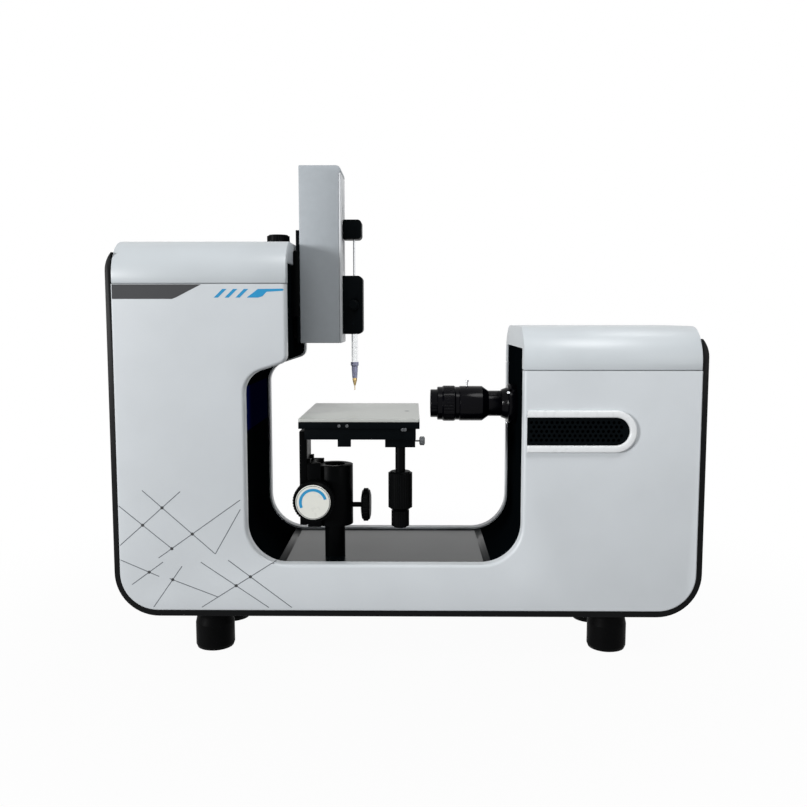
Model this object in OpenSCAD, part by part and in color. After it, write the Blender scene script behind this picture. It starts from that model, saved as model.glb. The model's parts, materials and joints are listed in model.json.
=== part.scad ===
// Contact angle tester: a U-shaped bench instrument. A dosing column with a syringe hangs
// from the head of the left tower, a lens looks out of the right tower, and a three-axis
// sample stage stands on a post in the bay between them.
// Frame: +X to the right, +Y to the rear, +Z up, origin on the bench under the middle.

/* [Body] */
// Length of the body, end to end
body_l = 560; // [520:1:640]
// Depth from the front panel's face to the rear panel's face
body_d = 160; // [150:1:190]
// Height of the body's underside above the bench
foot_h = 42; // [36:1:60]
// Width of the left tower beside the bay
left_w = 128; // [115:1:150]
// Width of the bay between the towers
bay_w = 260; // [245:1:290]
// Height of the bay's lower lip above the body's underside
base_h = 52; // [46:1:58]
// Height of the right tower above the body's underside
right_h = 277; // [255:1:310]
// Height of the curved top covers
cover_h = 41; // [34:1:52]
// Radius of the covers' front and rear shoulders
cover_r = 34; // [25:1:40]
// Radius of the body's lower corners
corner_r = 42; // [25:1:46]
// Radius where the bay's walls meet its floor
bay_r = 38; // [20:1:44]
// Width of the black rim beside the panels
rim_w = 6.5; // [5:0.5:12]
// Height of the black rim below the panels
rim_b = 7; // [3:0.5:9]
// Radius at the upper ends of the black rim
rim_r = 27; // [20:1:38]
// Drop from the top of a cover to the corner of the rim beside it
rim_drop = 2; // [1:0.5:9]
// Width of the wrap's flange behind the panels
flange_w = 20; // [18:1:26]
// Thickness of the front and rear panels
panel_t = 4; // [3:0.5:6]
// Depth of the panels' folded lip round the bay
lip_d = 11; // [8:0.5:16]
// Thickness of the sheet metal
sheet_t = 2; // [1.5:0.1:2.5]
// Height of the bay walls above the seams of the covers
tab_h = 23; // [16:1:26]

/* [Head] */
// Reach of the head over the bay
head_reach = 40; // [36:1:48]
// Height of the head from its lower corner to the top of its cover
head_h = 113; // [105:1:130]
// Drop of the head's underside towards the tower
head_drop = 13; // [6:1:20]
// Radius where the head's underside meets the tower
head_root_r = 22; // [10:1:28]
// Radius of the head's lower corner
head_tip_r = 9; // [5:0.5:12]

/* [Vent] */
// Length of the vent's bezel
vent_l = 102; // [90:1:115]
// Height of the vent's bezel
vent_h = 39.5; // [34:0.5:44]
// Width of the bezel's frame
vent_frame = 6.6; // [5:0.2:8]
// Distance of the bezel from the bay's edge
vent_inset = 3.6; // [1:0.2:5]
// Height of the bezel above the panel
vent_proud = 3; // [2:0.5:4]
// Drop of the vent's centre below the optical axis
vent_drop = 18.5; // [10:0.5:40]
// Thickness of the perforated insert
grille_t = 1.5; // [1:0.1:2.5]
// Diameter of the perforations
grille_hole_d = 3; // [2:0.1:3.4]
// Pitch of the perforations
grille_pitch = 4.8; // [4.4:0.1:7]

/* [Feet] */
// Diameter of a levelling foot
foot_d = 38; // [30:1:46]
// Distance of the feet from the body's ends
foot_inset = 85; // [70:1:110]
// Shift of the four feet towards the right
foot_shift = 3; // [-5:1:5]
// Distance of the feet from the panel faces
foot_set = 38; // [32:1:45]
// Diameter of a foot's stud
stud_d = 8; // [6:0.5:10]

/* [Optics] */
// Height of the optical axis above the body's underside
axis_h = 198; // [185:0.5:210]
// Reach of the lens into the bay
lens_reach = 85; // [80:0.5:95]
// Diameter of the lens's front rim
lens_front_d = 28.5; // [25:0.5:29]
// Length of the lens's front rim
lens_front_l = 7; // [5:0.5:10]
// Diameter of the zoom ring
zoom_d = 36; // [33.5:0.1:38]
// Length of the zoom ring
zoom_l = 22; // [16:0.5:25]
// Diameter of the lens body under the zoom ring
zoom_core_d = 29.6; // [28.5:0.1:30.5]
// Diameter of the lens barrel
barrel_d = 35.4; // [32:0.1:36]
// Length of the lens barrel
barrel_l = 23; // [19:0.5:26]
// Length of the taper behind the barrel
barrel_taper = 6.5; // [4:0.5:9]
// Diameter of the lens's neck
neck_d = 26; // [22:0.5:28]
// Diameter of the front glass
glass_d = 22; // [18:0.5:23]
// Diameter of the mounting collar on the wall
collar_d = 40; // [36:0.5:46]
// Thickness of the mounting collar
collar_t = 9; // [6:0.5:11]
// Length of the collar's flare
flare_l = 6; // [4:0.5:8]
// Width and height of the camera
camera_w = 44; // [36:1:50]
// Length of the camera
camera_l = 60; // [45:1:70]
// Gap from the bay wall to the camera
camera_gap = 6; // [4:0.5:12]
// Height of the backlight window
window_h = 43; // [36:1:48]
// Width of the backlight window
window_w = 124; // [100:1:130]

/* [Sample stage] */
// Length of the sample table along the body
table_w = 114; // [106:1:120]
// Depth of the sample table
table_d = 152; // [140:1:160]
// Thickness of the table plate
table_t = 3; // [2:0.5:4]
// Drop of the table below the optical axis
table_drop = 7.5; // [6:0.5:14]
// Distance of the table from the bay's left edge
table_set = 49.5; // [46:0.5:52]
// Thickness of the upper slide
x_slide_t = 6.5; // [5:0.5:8]
// Thickness of the middle slide
y_slide_t = 4.7; // [4.4:0.1:6.5]
// Thickness of the stage's carrying plate
carry_t = 5.1; // [4.6:0.1:7]
// Width of the slides' guide ribs
rib_w = 10; // [7:0.5:13]
// Height of the slides' guide ribs
rib_h = 2.4; // [1.6:0.1:2.6]
// Distance of the drive knobs' axis from the bay's left edge
coax_set = 145; // [141:0.5:147]
// Distance of the drive knobs' axis in front of the middle
coax_fwd = 48; // [44:0.5:52]
// Diameter of the upper, hollow drive shaft
tube_d = 9.7; // [9:0.1:11]
// Diameter of the inner drive shaft
core_d = 6; // [5:0.1:6.4]
// Diameter of the upper drive knob
y_knob_d = 23.4; // [20:0.2:26]
// Height of the upper drive knob
y_knob_h = 37; // [30:1:39]
// Diameter of the lower drive knob
x_knob_d = 17.4; // [15:0.2:20]
// Height of the lower drive knob
x_knob_h = 18; // [14:1:20]

/* [Stage lift] */
// Distance of the post from the bay's left edge
post_set = 80; // [78:0.5:81]
// Distance of the post in front of the middle
post_fwd = 36; // [32:0.5:38]
// Diameter of the post
post_d = 20; // [18:0.5:22]
// Outer diameter of the sleeve on the post
sleeve_d = 36; // [33:0.5:38]
// Height of the sleeve
sleeve_h = 59.5; // [54:0.5:62]
// Drop from the table's face to the sleeve's upper end
sleeve_drop = 49; // [46:0.5:52]
// Length of the post inside the sleeve
post_grip = 32; // [24:1:45]
// Wall between the post and the pinion's teeth
pinion_wall = 1.1; // [0.8:0.1:2]
// Gear module of the rack and pinion
gear_m = 1; // [0.9:0.05:1.05]
// Number of pinion teeth
pinion_n = 12; // [12:1:14]
// Width of the rack and pinion
gear_w = 12; // [8:0.5:13]
// Diameter of the pinion shaft
pinion_shaft_d = 6; // [5:0.5:7]
// Thickness of the lift's bracket plate
bracket_t = 7.25; // [5:0.25:8]
// Diameter of the focusing knobs
focus_d = 40; // [34:0.5:44]
// Thickness of the focusing knobs
focus_t = 14; // [10:0.5:16]
// Diameter of the focusing knobs' pale face plate
focus_cap_d = 33.5; // [28:0.5:34]
// Diameter of the clamp knob
clamp_knob_d = 32.5; // [26:0.5:36]
// Thickness of the clamp knob
clamp_knob_t = 9.8; // [8:0.2:12]
// Free length of the clamp screw between sleeve and knob
clamp_neck = 8; // [5:0.5:12]

/* [Dosing unit] */
// Gap between the head's end and the column
column_gap = 6; // [5.5:0.1:7]
// Width of the column along the body
column_w = 41; // [39:0.5:45]
// Depth of the column
column_d = 50; // [46:0.5:60]
// Height of the column
column_h = 172; // [165:1:190]
// Thickness of the column's right-hand face plate
face_t = 2; // [1.5:0.1:3]
// Radius of the column's upper right corner
column_r = 5; // [2:0.5:6]
// Height of the needle's tip above the optical axis
needle_gap = 13.5; // [8:0.5:20]
// Length of the needle with its ferrule
needle_l = 12.3; // [10:0.1:16]
// Diameter of the needle
needle_d = 0.9; // [0.5:0.1:1.4]
// Length of the needle's hub
hub_l = 16.3; // [13:0.1:18]
// Diameter of the needle's hub
hub_d = 8.1; // [7.4:0.1:9.5]
// Outer diameter of the glass barrel
syringe_d = 6.6; // [5.8:0.1:7.4]
// Bore of the glass barrel
syringe_bore = 4.6; // [3.4:0.1:5]
// Distance of the syringe from the column's face
syringe_set = 11; // [10:0.5:13]
// Length of the glass that shows under the barrel clamp
glass_show = 28.4; // [22:0.2:34]
// Height of the barrel clamp
clamp_h = 58; // [50:0.5:62]
// Width of the barrel clamp, outwards from the column
clamp_w = 20; // [18:0.5:22]
// Depth of the barrel clamp
clamp_d = 22; // [18:0.5:26]
// Length of plunger rod that shows between clamp and pusher
rod_show = 36; // [34:0.5:40]
// Height of the pusher block
pusher_h = 19.2; // [16:0.2:21]
// Diameter of the plunger rod
plunger_d = 2; // [1.2:0.1:2.6]
// Size of the square pump motor
motor_w = 28; // [24:0.5:28.4]
// Height of the pump motor
motor_h = 30; // [24:0.5:32]
// Diameter of the pump's screw
pump_screw_d = 6; // [4:0.5:8]
// Diameter of the pump's guide rods
guide_d = 4; // [3:0.5:5]
// Diameter of the lifting screw
lift_screw_d = 8; // [6:0.5:10]
// Distance of the lifting screw from the head's end
lift_set = 18; // [15:0.5:20]
// Diameter of the lifting knob
lift_knob_d = 22.6; // [18:0.2:28]
// Height of the lifting knob
lift_knob_h = 10; // [8:0.5:16]

/* [Rear] */
// Distance of the power inlet from the left end
inlet_set = 64; // [50:1:80]
// Height of the power inlet above the body's underside
inlet_up = 97; // [80:1:120]
// Width of the power inlet
inlet_w = 28; // [26:0.5:34]
// Height of the power inlet
inlet_h = 48; // [46:0.5:54]

/* [Inside] */
// Length of the power supply along the body
supply_l = 56; // [45:1:60]
// Depth of the power supply
supply_d = 84; // [70:1:110]
// Height of the power supply
supply_h = 42; // [30:1:50]
// Width of the control board along the body
board_w = 38; // [34:1:44]
// Depth of the control board
board_d = 100; // [80:1:120]
// Height of the control board above the base plate
board_up = 8; // [5:0.5:12]
// Distance of the supply and the board from the ends of the base plate
inside_gap = 6; // [4:0.5:10]

/* [Travel] */
// Travel of the column below its place as shown
lift_low = 8; // [4:0.5:9]
// Travel of the column above its place as shown
lift_high = 40; // [20:1:41]
// Travel of the plunger below its place as shown
push_low = 34; // [20:1:34]
// Travel of the plunger above its place as shown
push_high = 15; // [8:1:15]
// Travel of the middle slide to the front and to the rear
y_travel = 15; // [8:1:15]

/* [Fits] */
// Running clearance of a shaft in its bore, on the radius
run_fit = 0.1; // [0.05:0.01:0.15]
// Clearance of a seated piece in its recess
seat_fit = 0.1; // [0.05:0.01:0.2]
// Gap between sliding faces
slide_gap = 0.3; // [0.2:0.05:0.4]
// Gap at the seams of the covers
seam = 0.4; // [0.2:0.1:0.8]

/* [Hidden] */
$fn = 64;
// A little more than touching, for cuts that go right through
over = 1;

// Ends and heights of the body
x_l = -body_l / 2;
x_r = body_l / 2;
z_b = foot_h;
bay_x0 = x_l + left_w;
bay_x1 = bay_x0 + bay_w;
bay_mid = (bay_x0 + bay_x1) / 2;
head_x = bay_x0 + head_reach;
floor_lip_z = z_b + base_h;
axis_z = z_b + axis_h;
face_y = body_d / 2;
back_y = face_y - panel_t;
// Bay walls lie inside the panels' lips
wall_x0 = head_x - sheet_t;
wall_x1 = bay_x1 + sheet_t;
floor_z = floor_lip_z - sheet_t;
under_floor_z = floor_z - sheet_t;

// Dosing unit, upwards from the needle's tip
tip_z = axis_z + needle_gap;
hub_z = tip_z + needle_l;
hub_socket = 2;
glass_z = hub_z + hub_l - hub_socket;
clamp_z = glass_z + hub_socket + glass_show;
pusher_z = clamp_z + clamp_h + rod_show + pusher_h / 2;
column_drop = 8.5;
column_z = clamp_z - column_drop;
column_top = column_z + column_h;
column_x0 = head_x + column_gap;
column_x1 = column_x0 + column_w;
face_x = column_x1 - face_t;
face_top = column_top - column_r - sheet_t;
needle_x = column_x1 + syringe_set;
pump_x = (column_x0 + sheet_t + face_x) / 2;

// Head and towers
head_rise = 16;
head_z = column_z - head_rise;
head_root_z = head_z - head_drop;
left_top = head_z + head_h;
right_top = z_b + right_h;
left_seam = left_top - cover_h;
right_seam = right_top - cover_h;
shoulder_r = min(cover_r, cover_h - over);
tab_y = face_y - 12;
window_lap = 3;

// Lift of the dosing unit
lift_x = head_x - lift_set;
arm_up = 14;
arm_h = 18;
arm_w = 14;
arm_z = column_z + arm_up;
slot_gap = 1.5;
nut_w = 20;
bearing_t = 4.4;
rail_y = 20;
rail_w = 8;
rail_t = 3.5;
rail_l = 109;
guide_w = 16;
guide_low = arm_z + 12;
guide_top = left_seam + 34;

// Plunger drive
carriage_h = 12;
carriage_arm = 8;
guide_y = 11;
collar_h = 5;
screw_seat = 6;
boss_h = 10;
boss_d = 14;
seal_h = 6;
rod_low = clamp_z + 20;

// Sample stage, downwards from the table's face
table_z = axis_z - table_drop;
x_slide_z = table_z - table_t - x_slide_t;
y_slide_z = x_slide_z - slide_gap - y_slide_t;
carry_z = y_slide_z - slide_gap - carry_t;
table_x0 = bay_x0 + table_set;
slide_x0 = table_x0 + 5.5;
slide_x1 = table_x0 + table_w - 3.5;
carry_d = 100;
apron_t = 4;
slide_d = table_d - 4;
coax_x = bay_x0 + coax_set;
coax_y = -coax_fwd;
coax_block_w = 29;
coax_block_d = 20;
coax_block_z = carry_z - 9.6;
coax_shaft = 24.5;
y_knob_z = coax_block_z - coax_shaft - y_knob_h;
x_knob_z = y_knob_z - slide_gap - x_knob_h;
lock_block_w = 12.4;
lock_block_h = 6.8;
lock_block_x = slide_x0 + 31.3;
x_rib_y = 40;
y_rib_x = [slide_x0 + 27, slide_x0 + 62];

// Stage lift
post_x = bay_x0 + post_set;
post_y = -post_fwd;
sleeve_top = table_z - sleeve_drop;
sleeve_z = sleeve_top - sleeve_h;
post_top = sleeve_z + post_grip;
pitch_r = gear_m * pinion_n / 2;
addendum = 0.9 * gear_m;
dedendum = 1.25 * gear_m;
backlash = 0.2 * gear_m;
pinion_x = post_x - post_d / 2 - pinion_wall - addendum - pitch_r;
pinion_z = sleeve_z + 27.5;
rack_pitch = PI * gear_m;
rack_root_x = pinion_x - pitch_r - dedendum;
bracket_x0 = rack_root_x - bracket_t;
housing_d = sleeve_d;
housing_x0 = rack_root_x + slide_gap;
housing_top = sleeve_top + 3;
bracket_d = sleeve_d;
carriage_low = sleeve_z + 2;
dovetail_y = 13;
dovetail_root = 4.6;
dovetail_end = 7.6;
dovetail_h = pitch_r + dedendum - pinion_shaft_d / 2 - 1;
clamp_screw_d = 5;
clamp_screw_z = sleeve_z + 18.6;
post_stud_d = 12;
post_stud_l = 11;

// Inside
plate_t = 5;
base_top = z_b + sheet_t + plate_t;
base_half = body_l / 2 - corner_r - sheet_t;
base_y = back_y - sheet_t - 2;

// Rear
inlet_x = x_l + inlet_set;
inlet_z = z_b + inlet_up;
inlet_depth = 24;
inlet_flange = 3;
inlet_proud = 2;
rocker_w = 11.4;
rocker_l = 18;
rocker_up = 12;
rocker_rest = 8;
rocker_y = face_y - 1;
rocker_pin_d = 3;
rocker_pin_l = 1.4;
screw_d = 3.8;
screw_inset = 14;

// Outlines

function unit(v) = v / norm(v);
function cross_z(a, b) = a[0] * b[1] - a[1] * b[0];
function before(points, i) = unit(points[i] - points[(i + len(points) - 1) % len(points)]);
function after(points, i) = unit(points[(i + 1) % len(points)] - points[i]);
function outward(e) = [e[1], -e[0]];
function bulges(points, i) = cross_z(before(points, i), after(points, i)) > 0;
function tangent_l(points, i, r) =
    r * abs(cross_z(before(points, i), after(points, i))) / (1 + before(points, i) * after(points, i));

// A counter-clockwise outline moved outwards by d, and its radii to match
function grown(points, d) = [
    for (i = [0 : len(points) - 1])
        let (a = outward(before(points, i)), b = outward(after(points, i)))
            points[i] + d * (a + b) / (1 + a * b)
];
function grown_radii(points, radii, d) = [
    for (i = [0 : len(points) - 1])
        radii[i] == 0 ? 0 : max(0, radii[i] + (bulges(points, i) ? d : -d))
];

function cut_corner(points, i, r) =
    r == 0
        ? [points[i]]
        : let (t = tangent_l(points, i, r)) [points[i] - before(points, i) * t, points[i] + after(points, i) * t];

// The sector of a corner's round, from its centre to its arc
module corner_round(points, i, r) {
    ends = cut_corner(points, i, r);
    centre = ends[0] - outward(before(points, i)) * (bulges(points, i) ? r : -r);
    intersection() {
        translate(centre)
            circle(r);
        polygon([centre, 2 * ends[0] - centre, 2 * ends[1] - centre]);
    }
}

// A counter-clockwise polygon with true arcs at its corners
module rounded(points, radii) {
    corners = [for (i = [0 : len(points) - 1]) if (radii[i] > 0) i];
    difference() {
        union() {
            polygon([for (i = [0 : len(points) - 1]) each cut_corner(points, i, radii[i])]);
            for (i = corners)
                if (bulges(points, i))
                    corner_round(points, i, radii[i]);
        }
        for (i = corners)
            if (!bulges(points, i))
                corner_round(points, i, radii[i]);
    }
}

// Upright outline in X and Z, given depth from y0 to y1
module slab(y0, y1) {
    translate([0, y1, 0])
        rotate([90, 0, 0])
            linear_extrude(y1 - y0)
                children();
}

// Upright outline in Y and Z, given length from x0 to x1
module beam(x0, x1) {
    translate([x0, 0, 0])
        rotate([90, 0, 90])
            linear_extrude(x1 - x0)
                children();
}

module box(low, high) {
    translate(low)
        cube(high - low);
}

// A profile of radius and distance, turned about an axis along X, Y or Z
module turned_x(y, z) {
    translate([0, y, z])
        rotate([0, 90, 0])
            rotate_extrude()
                children();
}
module turned_y(x, z) {
    translate([x, 0, z])
        rotate([-90, 0, 0])
            rotate_extrude()
                children();
}
module turned_z(x, y) {
    translate([x, y, 0])
        rotate_extrude()
            children();
}

module rod_x(x0, x1, y, z, d) {
    translate([x0, y, z])
        rotate([0, 90, 0])
            cylinder(h = x1 - x0, d = d);
}
module rod_y(y0, y1, x, z, d) {
    translate([x, y0, z])
        rotate([-90, 0, 0])
            cylinder(h = y1 - y0, d = d);
}
module rod_z(z0, z1, x, y, d) {
    translate([x, y, z0])
        cylinder(h = z1 - z0, d = d);
}

// Round grip outline with flutes cut into its rim
module fluted(d, count, flute_d) {
    difference() {
        circle(d = d);
        for (i = [0 : count - 1])
            rotate(360 * i / count)
                translate([d / 2 + flute_d * 0.2, 0])
                    circle(d = flute_d, $fn = 16);
    }
}

// Knob standing on the origin along Z: a fluted grip between bevelled ends
module knob(d, h, bevel, count, flute_d) {
    end_r = d / 2 - flute_d * 0.5;
    rotate_extrude()
        polygon([
            [0, 0], [end_r - bevel, 0], [end_r, bevel],
            [end_r, h - bevel], [end_r - bevel, h], [0, h]
        ]);
    translate([0, 0, bevel])
        linear_extrude(h - 2 * bevel)
            fluted(d, count, flute_d);
}

// Body shells

body_points = [
    [x_l, z_b], [x_r, z_b], [x_r, right_top - rim_drop], [bay_mid, right_top - rim_drop],
    [bay_mid, left_top - rim_drop], [x_l, left_top - rim_drop]
];
body_radii = [corner_r, corner_r, rim_r, 0, 0, rim_r];
sky_z = left_top + 20;

module body_outline(inset) {
    rounded(grown(body_points, -inset), grown_radii(body_points, body_radii, -inset));
}

bay_points = [
    [head_x, sky_z], [head_x, head_z], [bay_x0, head_root_z],
    [bay_x0, floor_lip_z], [bay_x1, floor_lip_z], [bay_x1, sky_z]
];
bay_radii = [0, head_tip_r, head_root_r, bay_r, bay_r, 0];

// The open bay, widened by d
module bay(d) {
    rounded(grown(bay_points, d), grown_radii(bay_points, bay_radii, d));
}

// Everything above the seams of the two covers
module above_seams() {
    translate([x_l, left_seam])
        square([bay_mid - x_l, sky_z]);
    translate([bay_mid - flange_w - over, right_seam])
        square([x_r - bay_mid + flange_w, sky_z]);
}

module foot_places() {
    for (x = [x_l + foot_inset, x_r - foot_inset], y = [-1, 1])
        translate([x + foot_shift, y * (face_y - foot_set), 0])
            children();
}

screw_places = [
    [x_l + screw_inset, z_b + 70], [x_l + screw_inset, left_seam - 24],
    [x_r - screw_inset, z_b + 70], [x_r - screw_inset, right_seam - 24],
    [x_l + body_l * 0.25, z_b + screw_inset], [bay_mid, z_b + screw_inset],
    [x_r - body_l * 0.25, z_b + screw_inset]
];

module screw_holes(y0, y1) {
    for (p = screw_places)
        rod_y(y0, y1, p[0], p[1], screw_d + 2 * seat_fit);
}

module outer_wrap() color("#16171a") {
    difference() {
        union() {
            slab(-back_y, back_y)
                difference() {
                    body_outline(0);
                    body_outline(sheet_t);
                    translate([x_l + rim_w, z_b + corner_r])
                        square([body_l - 2 * rim_w, sky_z]);
                }
            for (y = [-back_y, back_y - sheet_t])
                slab(y, y + sheet_t)
                    difference() {
                        body_outline(0);
                        body_outline(flange_w);
                        translate([x_l + rim_w, left_seam])
                            square([bay_mid - x_l - rim_w, sky_z]);
                        translate([bay_mid - flange_w - over, right_seam])
                            square([x_r - rim_w - bay_mid + flange_w + over, sky_z]);
                    }
        }
        bottom_sheet(0, over);
        screw_holes(back_y - sheet_t - over, back_y + over);
    }
}

// Flat of the underside between the rims and the rounded corners
module bottom_sheet(inset, up) {
    edge_y = back_y - sheet_t - inset;
    box(
        [x_l + corner_r + inset, -edge_y, z_b - up],
        [x_r - corner_r - inset, edge_y, z_b + sheet_t + up]
    );
}

module bottom_cover() color("#16171a") {
    difference() {
        bottom_sheet(seat_fit, 0);
        foot_places()
            rod_z(z_b - over, z_b + sheet_t + over, 0, 0, stud_d + 2 * slide_gap);
    }
}

module window_opening(grow) {
    translate([-window_w / 2 - grow, axis_z - window_h / 2 - grow])
        square([window_w + 2 * grow, window_h + 2 * grow]);
}

module inner_liner() color("#1b1c1f") {
    difference() {
        union() {
            slab(-back_y, back_y)
                difference() {
                    bay(2 * sheet_t);
                    bay(sheet_t);
                    above_seams();
                }
            box([wall_x0 - sheet_t, -tab_y, left_seam - over], [wall_x0, tab_y, left_seam + tab_h]);
            box([wall_x1, -tab_y, right_seam - over], [wall_x1 + sheet_t, tab_y, right_seam + tab_h]);
        }
        box(
            [wall_x0 - sheet_t - over, -arm_w / 2 - slot_gap, arm_z - arm_h / 2 - lift_low - slot_gap],
            [wall_x0 + over, arm_w / 2 + slot_gap, arm_z + arm_h / 2 + lift_high + slot_gap]
        );
        beam(bay_x0 - 2 * sheet_t - over, bay_x0)
            window_opening(seat_fit);
        rod_x(wall_x1 - over, wall_x1 + sheet_t + over, 0, axis_z, neck_d + 2 * slide_gap);
        rod_z(under_floor_z - over, floor_z + over, post_x, post_y, post_stud_d + 2 * seat_fit);
    }
}

panel_points = [
    [x_l + rim_w, z_b + rim_b], [x_r - rim_w, z_b + rim_b], [x_r - rim_w, right_seam],
    [bay_x1, right_seam], [bay_x1, floor_lip_z], [bay_x0, floor_lip_z],
    [bay_x0, head_root_z], [head_x, head_z], [head_x, left_seam], [x_l + rim_w, left_seam]
];
panel_radii = [
    corner_r - rim_w, corner_r - rim_w, 0, 0, bay_r, bay_r, head_root_r, head_tip_r, 0, 0
];

vent_z = axis_z - vent_drop;
vent_x0 = bay_x1 + vent_inset;
vent_end_r = vent_h / 2;
collar_inset = vent_frame - sheet_t;

// Vent outline, square towards the bay and round at its other end, drawn in by inset
module vent_outline(inset, left_inset) {
    r = vent_end_r - inset;
    end_x = vent_x0 + vent_l - vent_end_r;
    translate([vent_x0 + left_inset, vent_z - r])
        square([end_x - vent_x0 - left_inset, 2 * r]);
    intersection() {
        translate([end_x, vent_z])
            circle(r);
        translate([end_x, vent_z - r - over])
            square([r + over, 2 * r + 2 * over]);
    }
}

// Start of the bezel's collar, clear of the bay wall behind the panel
vent_left = 2 * sheet_t - vent_inset + seat_fit;

module body_panel() {
    difference() {
        slab(-face_y, -back_y)
            difference() {
                rounded(panel_points, panel_radii);
                vent_outline(collar_inset - seat_fit, vent_left - seat_fit);
            }
        box(
            [vent_x0, -face_y - over, vent_z - vent_end_r + vent_frame],
            [vent_x0 + vent_left + over, -face_y + grille_t, vent_z + vent_end_r - vent_frame]
        );
    }
    slab(-face_y, -face_y + lip_d)
        difference() {
            bay(sheet_t);
            bay(0);
            above_seams();
        }
}

module front_panel() color("#b9bec6") body_panel();

module rear_panel() color("#b9bec6") {
    difference() {
        mirror([0, 1, 0])
            body_panel();
        screw_holes(back_y - over, face_y + over);
        box(
            [inlet_x - inlet_w / 2 - seat_fit, back_y - over, inlet_z - inlet_h / 2 - seat_fit],
            [inlet_x + inlet_w / 2 + seat_fit, face_y + over, inlet_z + inlet_h / 2 + seat_fit]
        );
    }
}

// Curved cover of a tower, open below, with a window in the end that faces the bay
module cover_outline(seam_z, top, inset, down) {
    rounded(
        [
            [-face_y + inset, seam_z - down], [face_y - inset, seam_z - down],
            [face_y - inset, top - inset], [-face_y + inset, top - inset]
        ],
        [0, 0, shoulder_r - inset, shoulder_r - inset]
    );
}

module top_cover(x0, x1, seam_z, top, window_x) {
    difference() {
        beam(x0, x1)
            cover_outline(seam_z + seam, top, 0, 0);
        beam(x0 + sheet_t, x1 - sheet_t)
            cover_outline(seam_z, top, sheet_t, over);
        box(
            [window_x - sheet_t - over, -tab_y + window_lap, seam_z - over],
            [window_x + sheet_t + over, tab_y - window_lap, seam_z + tab_h - window_lap]
        );
    }
}

module left_top_cover() color("#c3c8cf") {
    difference() {
        top_cover(x_l + rim_w + seam, head_x, left_seam, left_top, head_x);
        rod_z(left_top - sheet_t - over, left_top + over, lift_x, 0, lift_screw_d + 2 * slide_gap);
    }
}

module right_top_cover() color("#c3c8cf") {
    top_cover(bay_x1, x_r - rim_w - seam, right_seam, right_top, bay_x1);
}

module both_faces() {
    children();
    mirror([0, 1, 0])
        children();
}

// Bezel of the vent: a horseshoe that opens towards the bay, with a collar in the panel
module vent_bezels() color("#dfe3e8") {
    both_faces() {
        slab(-face_y - vent_proud, -face_y)
            difference() {
                vent_outline(0, 0);
                vent_outline(vent_frame, -over);
            }
        slab(-face_y, -back_y + sheet_t)
            difference() {
                vent_outline(collar_inset, vent_left);
                vent_outline(vent_frame, vent_left - over);
            }
    }
}

module vent_grilles() color("#0c0c0e") {
    row_step = grille_pitch * sqrt(3) / 2;
    half_h = vent_end_r - vent_frame;
    rows = floor((half_h - grille_hole_d / 2 - over) / row_step);
    run = vent_l - vent_end_r - vent_left + half_h * 0.5;
    first_x = vent_x0 + vent_left + grille_pitch / 2 + over;
    both_faces()
        slab(-face_y, -face_y + grille_t)
            difference() {
                vent_outline(vent_frame + seat_fit, seat_fit);
                for (row = [-rows : rows], i = [0 : floor(run / grille_pitch) - 1])
                    translate([
                        first_x + (i + abs(row % 2) / 2) * grille_pitch,
                        vent_z + row * row_step
                    ])
                        circle(d = grille_hole_d, $fn = 20);
            }
}

module base_plate() color("#6d7075") {
    difference() {
        box([-base_half, -base_y, z_b + sheet_t], [base_half, base_y, base_top]);
        foot_places()
            rod_z(z_b, base_top + over, 0, 0, stud_d + 2 * run_fit);
    }
}

// Channel that carries the bay floor and the post
module bay_support() color("#6d7075") {
    x0 = bay_x0 + bay_r + 8;
    x1 = bay_x1 - bay_r - 8;
    difference() {
        box([x0, -base_y + 12, base_top], [x1, base_y - 12, under_floor_z]);
        box([x0 + plate_t, -base_y, base_top - over], [x1 - plate_t, base_y, under_floor_z - plate_t]);
        rod_z(under_floor_z - plate_t - over, under_floor_z + over, post_x, post_y, post_stud_d + 2 * seat_fit);
    }
}

// Levelling foot: a waisted pad with its stud
module levelling_foot(side, end) {
    r = foot_d / 2;
    waist = r - 1.6;
    top = z_b - slide_gap;
    x = side < 0 ? x_l + foot_inset : x_r - foot_inset;
    turned_z(x + foot_shift, end * (face_y - foot_set))
        polygon([
            [0, 0], [r - 4.5, 0], [r - 1.3, 1.3], [r, 4.5], [r, top * 0.62], [waist, top * 0.8],
            [waist, top], [stud_d / 2, top], [stud_d / 2, base_top - 0.5], [0, base_top - 0.5]
        ]);
}

module foot_front_left() color("#141416") levelling_foot(-1, -1);
module foot_front_right() color("#141416") levelling_foot(1, -1);
module foot_rear_left() color("#141416") levelling_foot(-1, 1);
module foot_rear_right() color("#141416") levelling_foot(1, 1);

// Optics

diffuser_t = 2;
diffuser_lap = 3;
wall_back = bay_x0 - 2 * sheet_t;

module backlight_diffuser() color("#2a3f78") {
    beam(wall_back, wall_back + sheet_t)
        window_opening(0);
    beam(wall_back - diffuser_t, wall_back)
        window_opening(diffuser_lap);
}

module backlight_housing() color("#3a3c40") {
    housing_l = 30;
    front_x = wall_back - diffuser_t;
    difference() {
        beam(front_x - housing_l, front_x)
            window_opening(diffuser_lap + sheet_t);
        beam(front_x - housing_l + plate_t, front_x + over)
            window_opening(0);
    }
}

camera_x = wall_x1 + sheet_t + camera_gap;

module camera_body() color("#2b2d31") {
    half = camera_w / 2;
    mount_bore = 16;
    difference() {
        box([camera_x, -half, axis_z - half], [camera_x + camera_l, half, axis_z + half]);
        rod_x(camera_x - over, camera_x + 10, 0, axis_z, mount_bore);
    }
}

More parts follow.
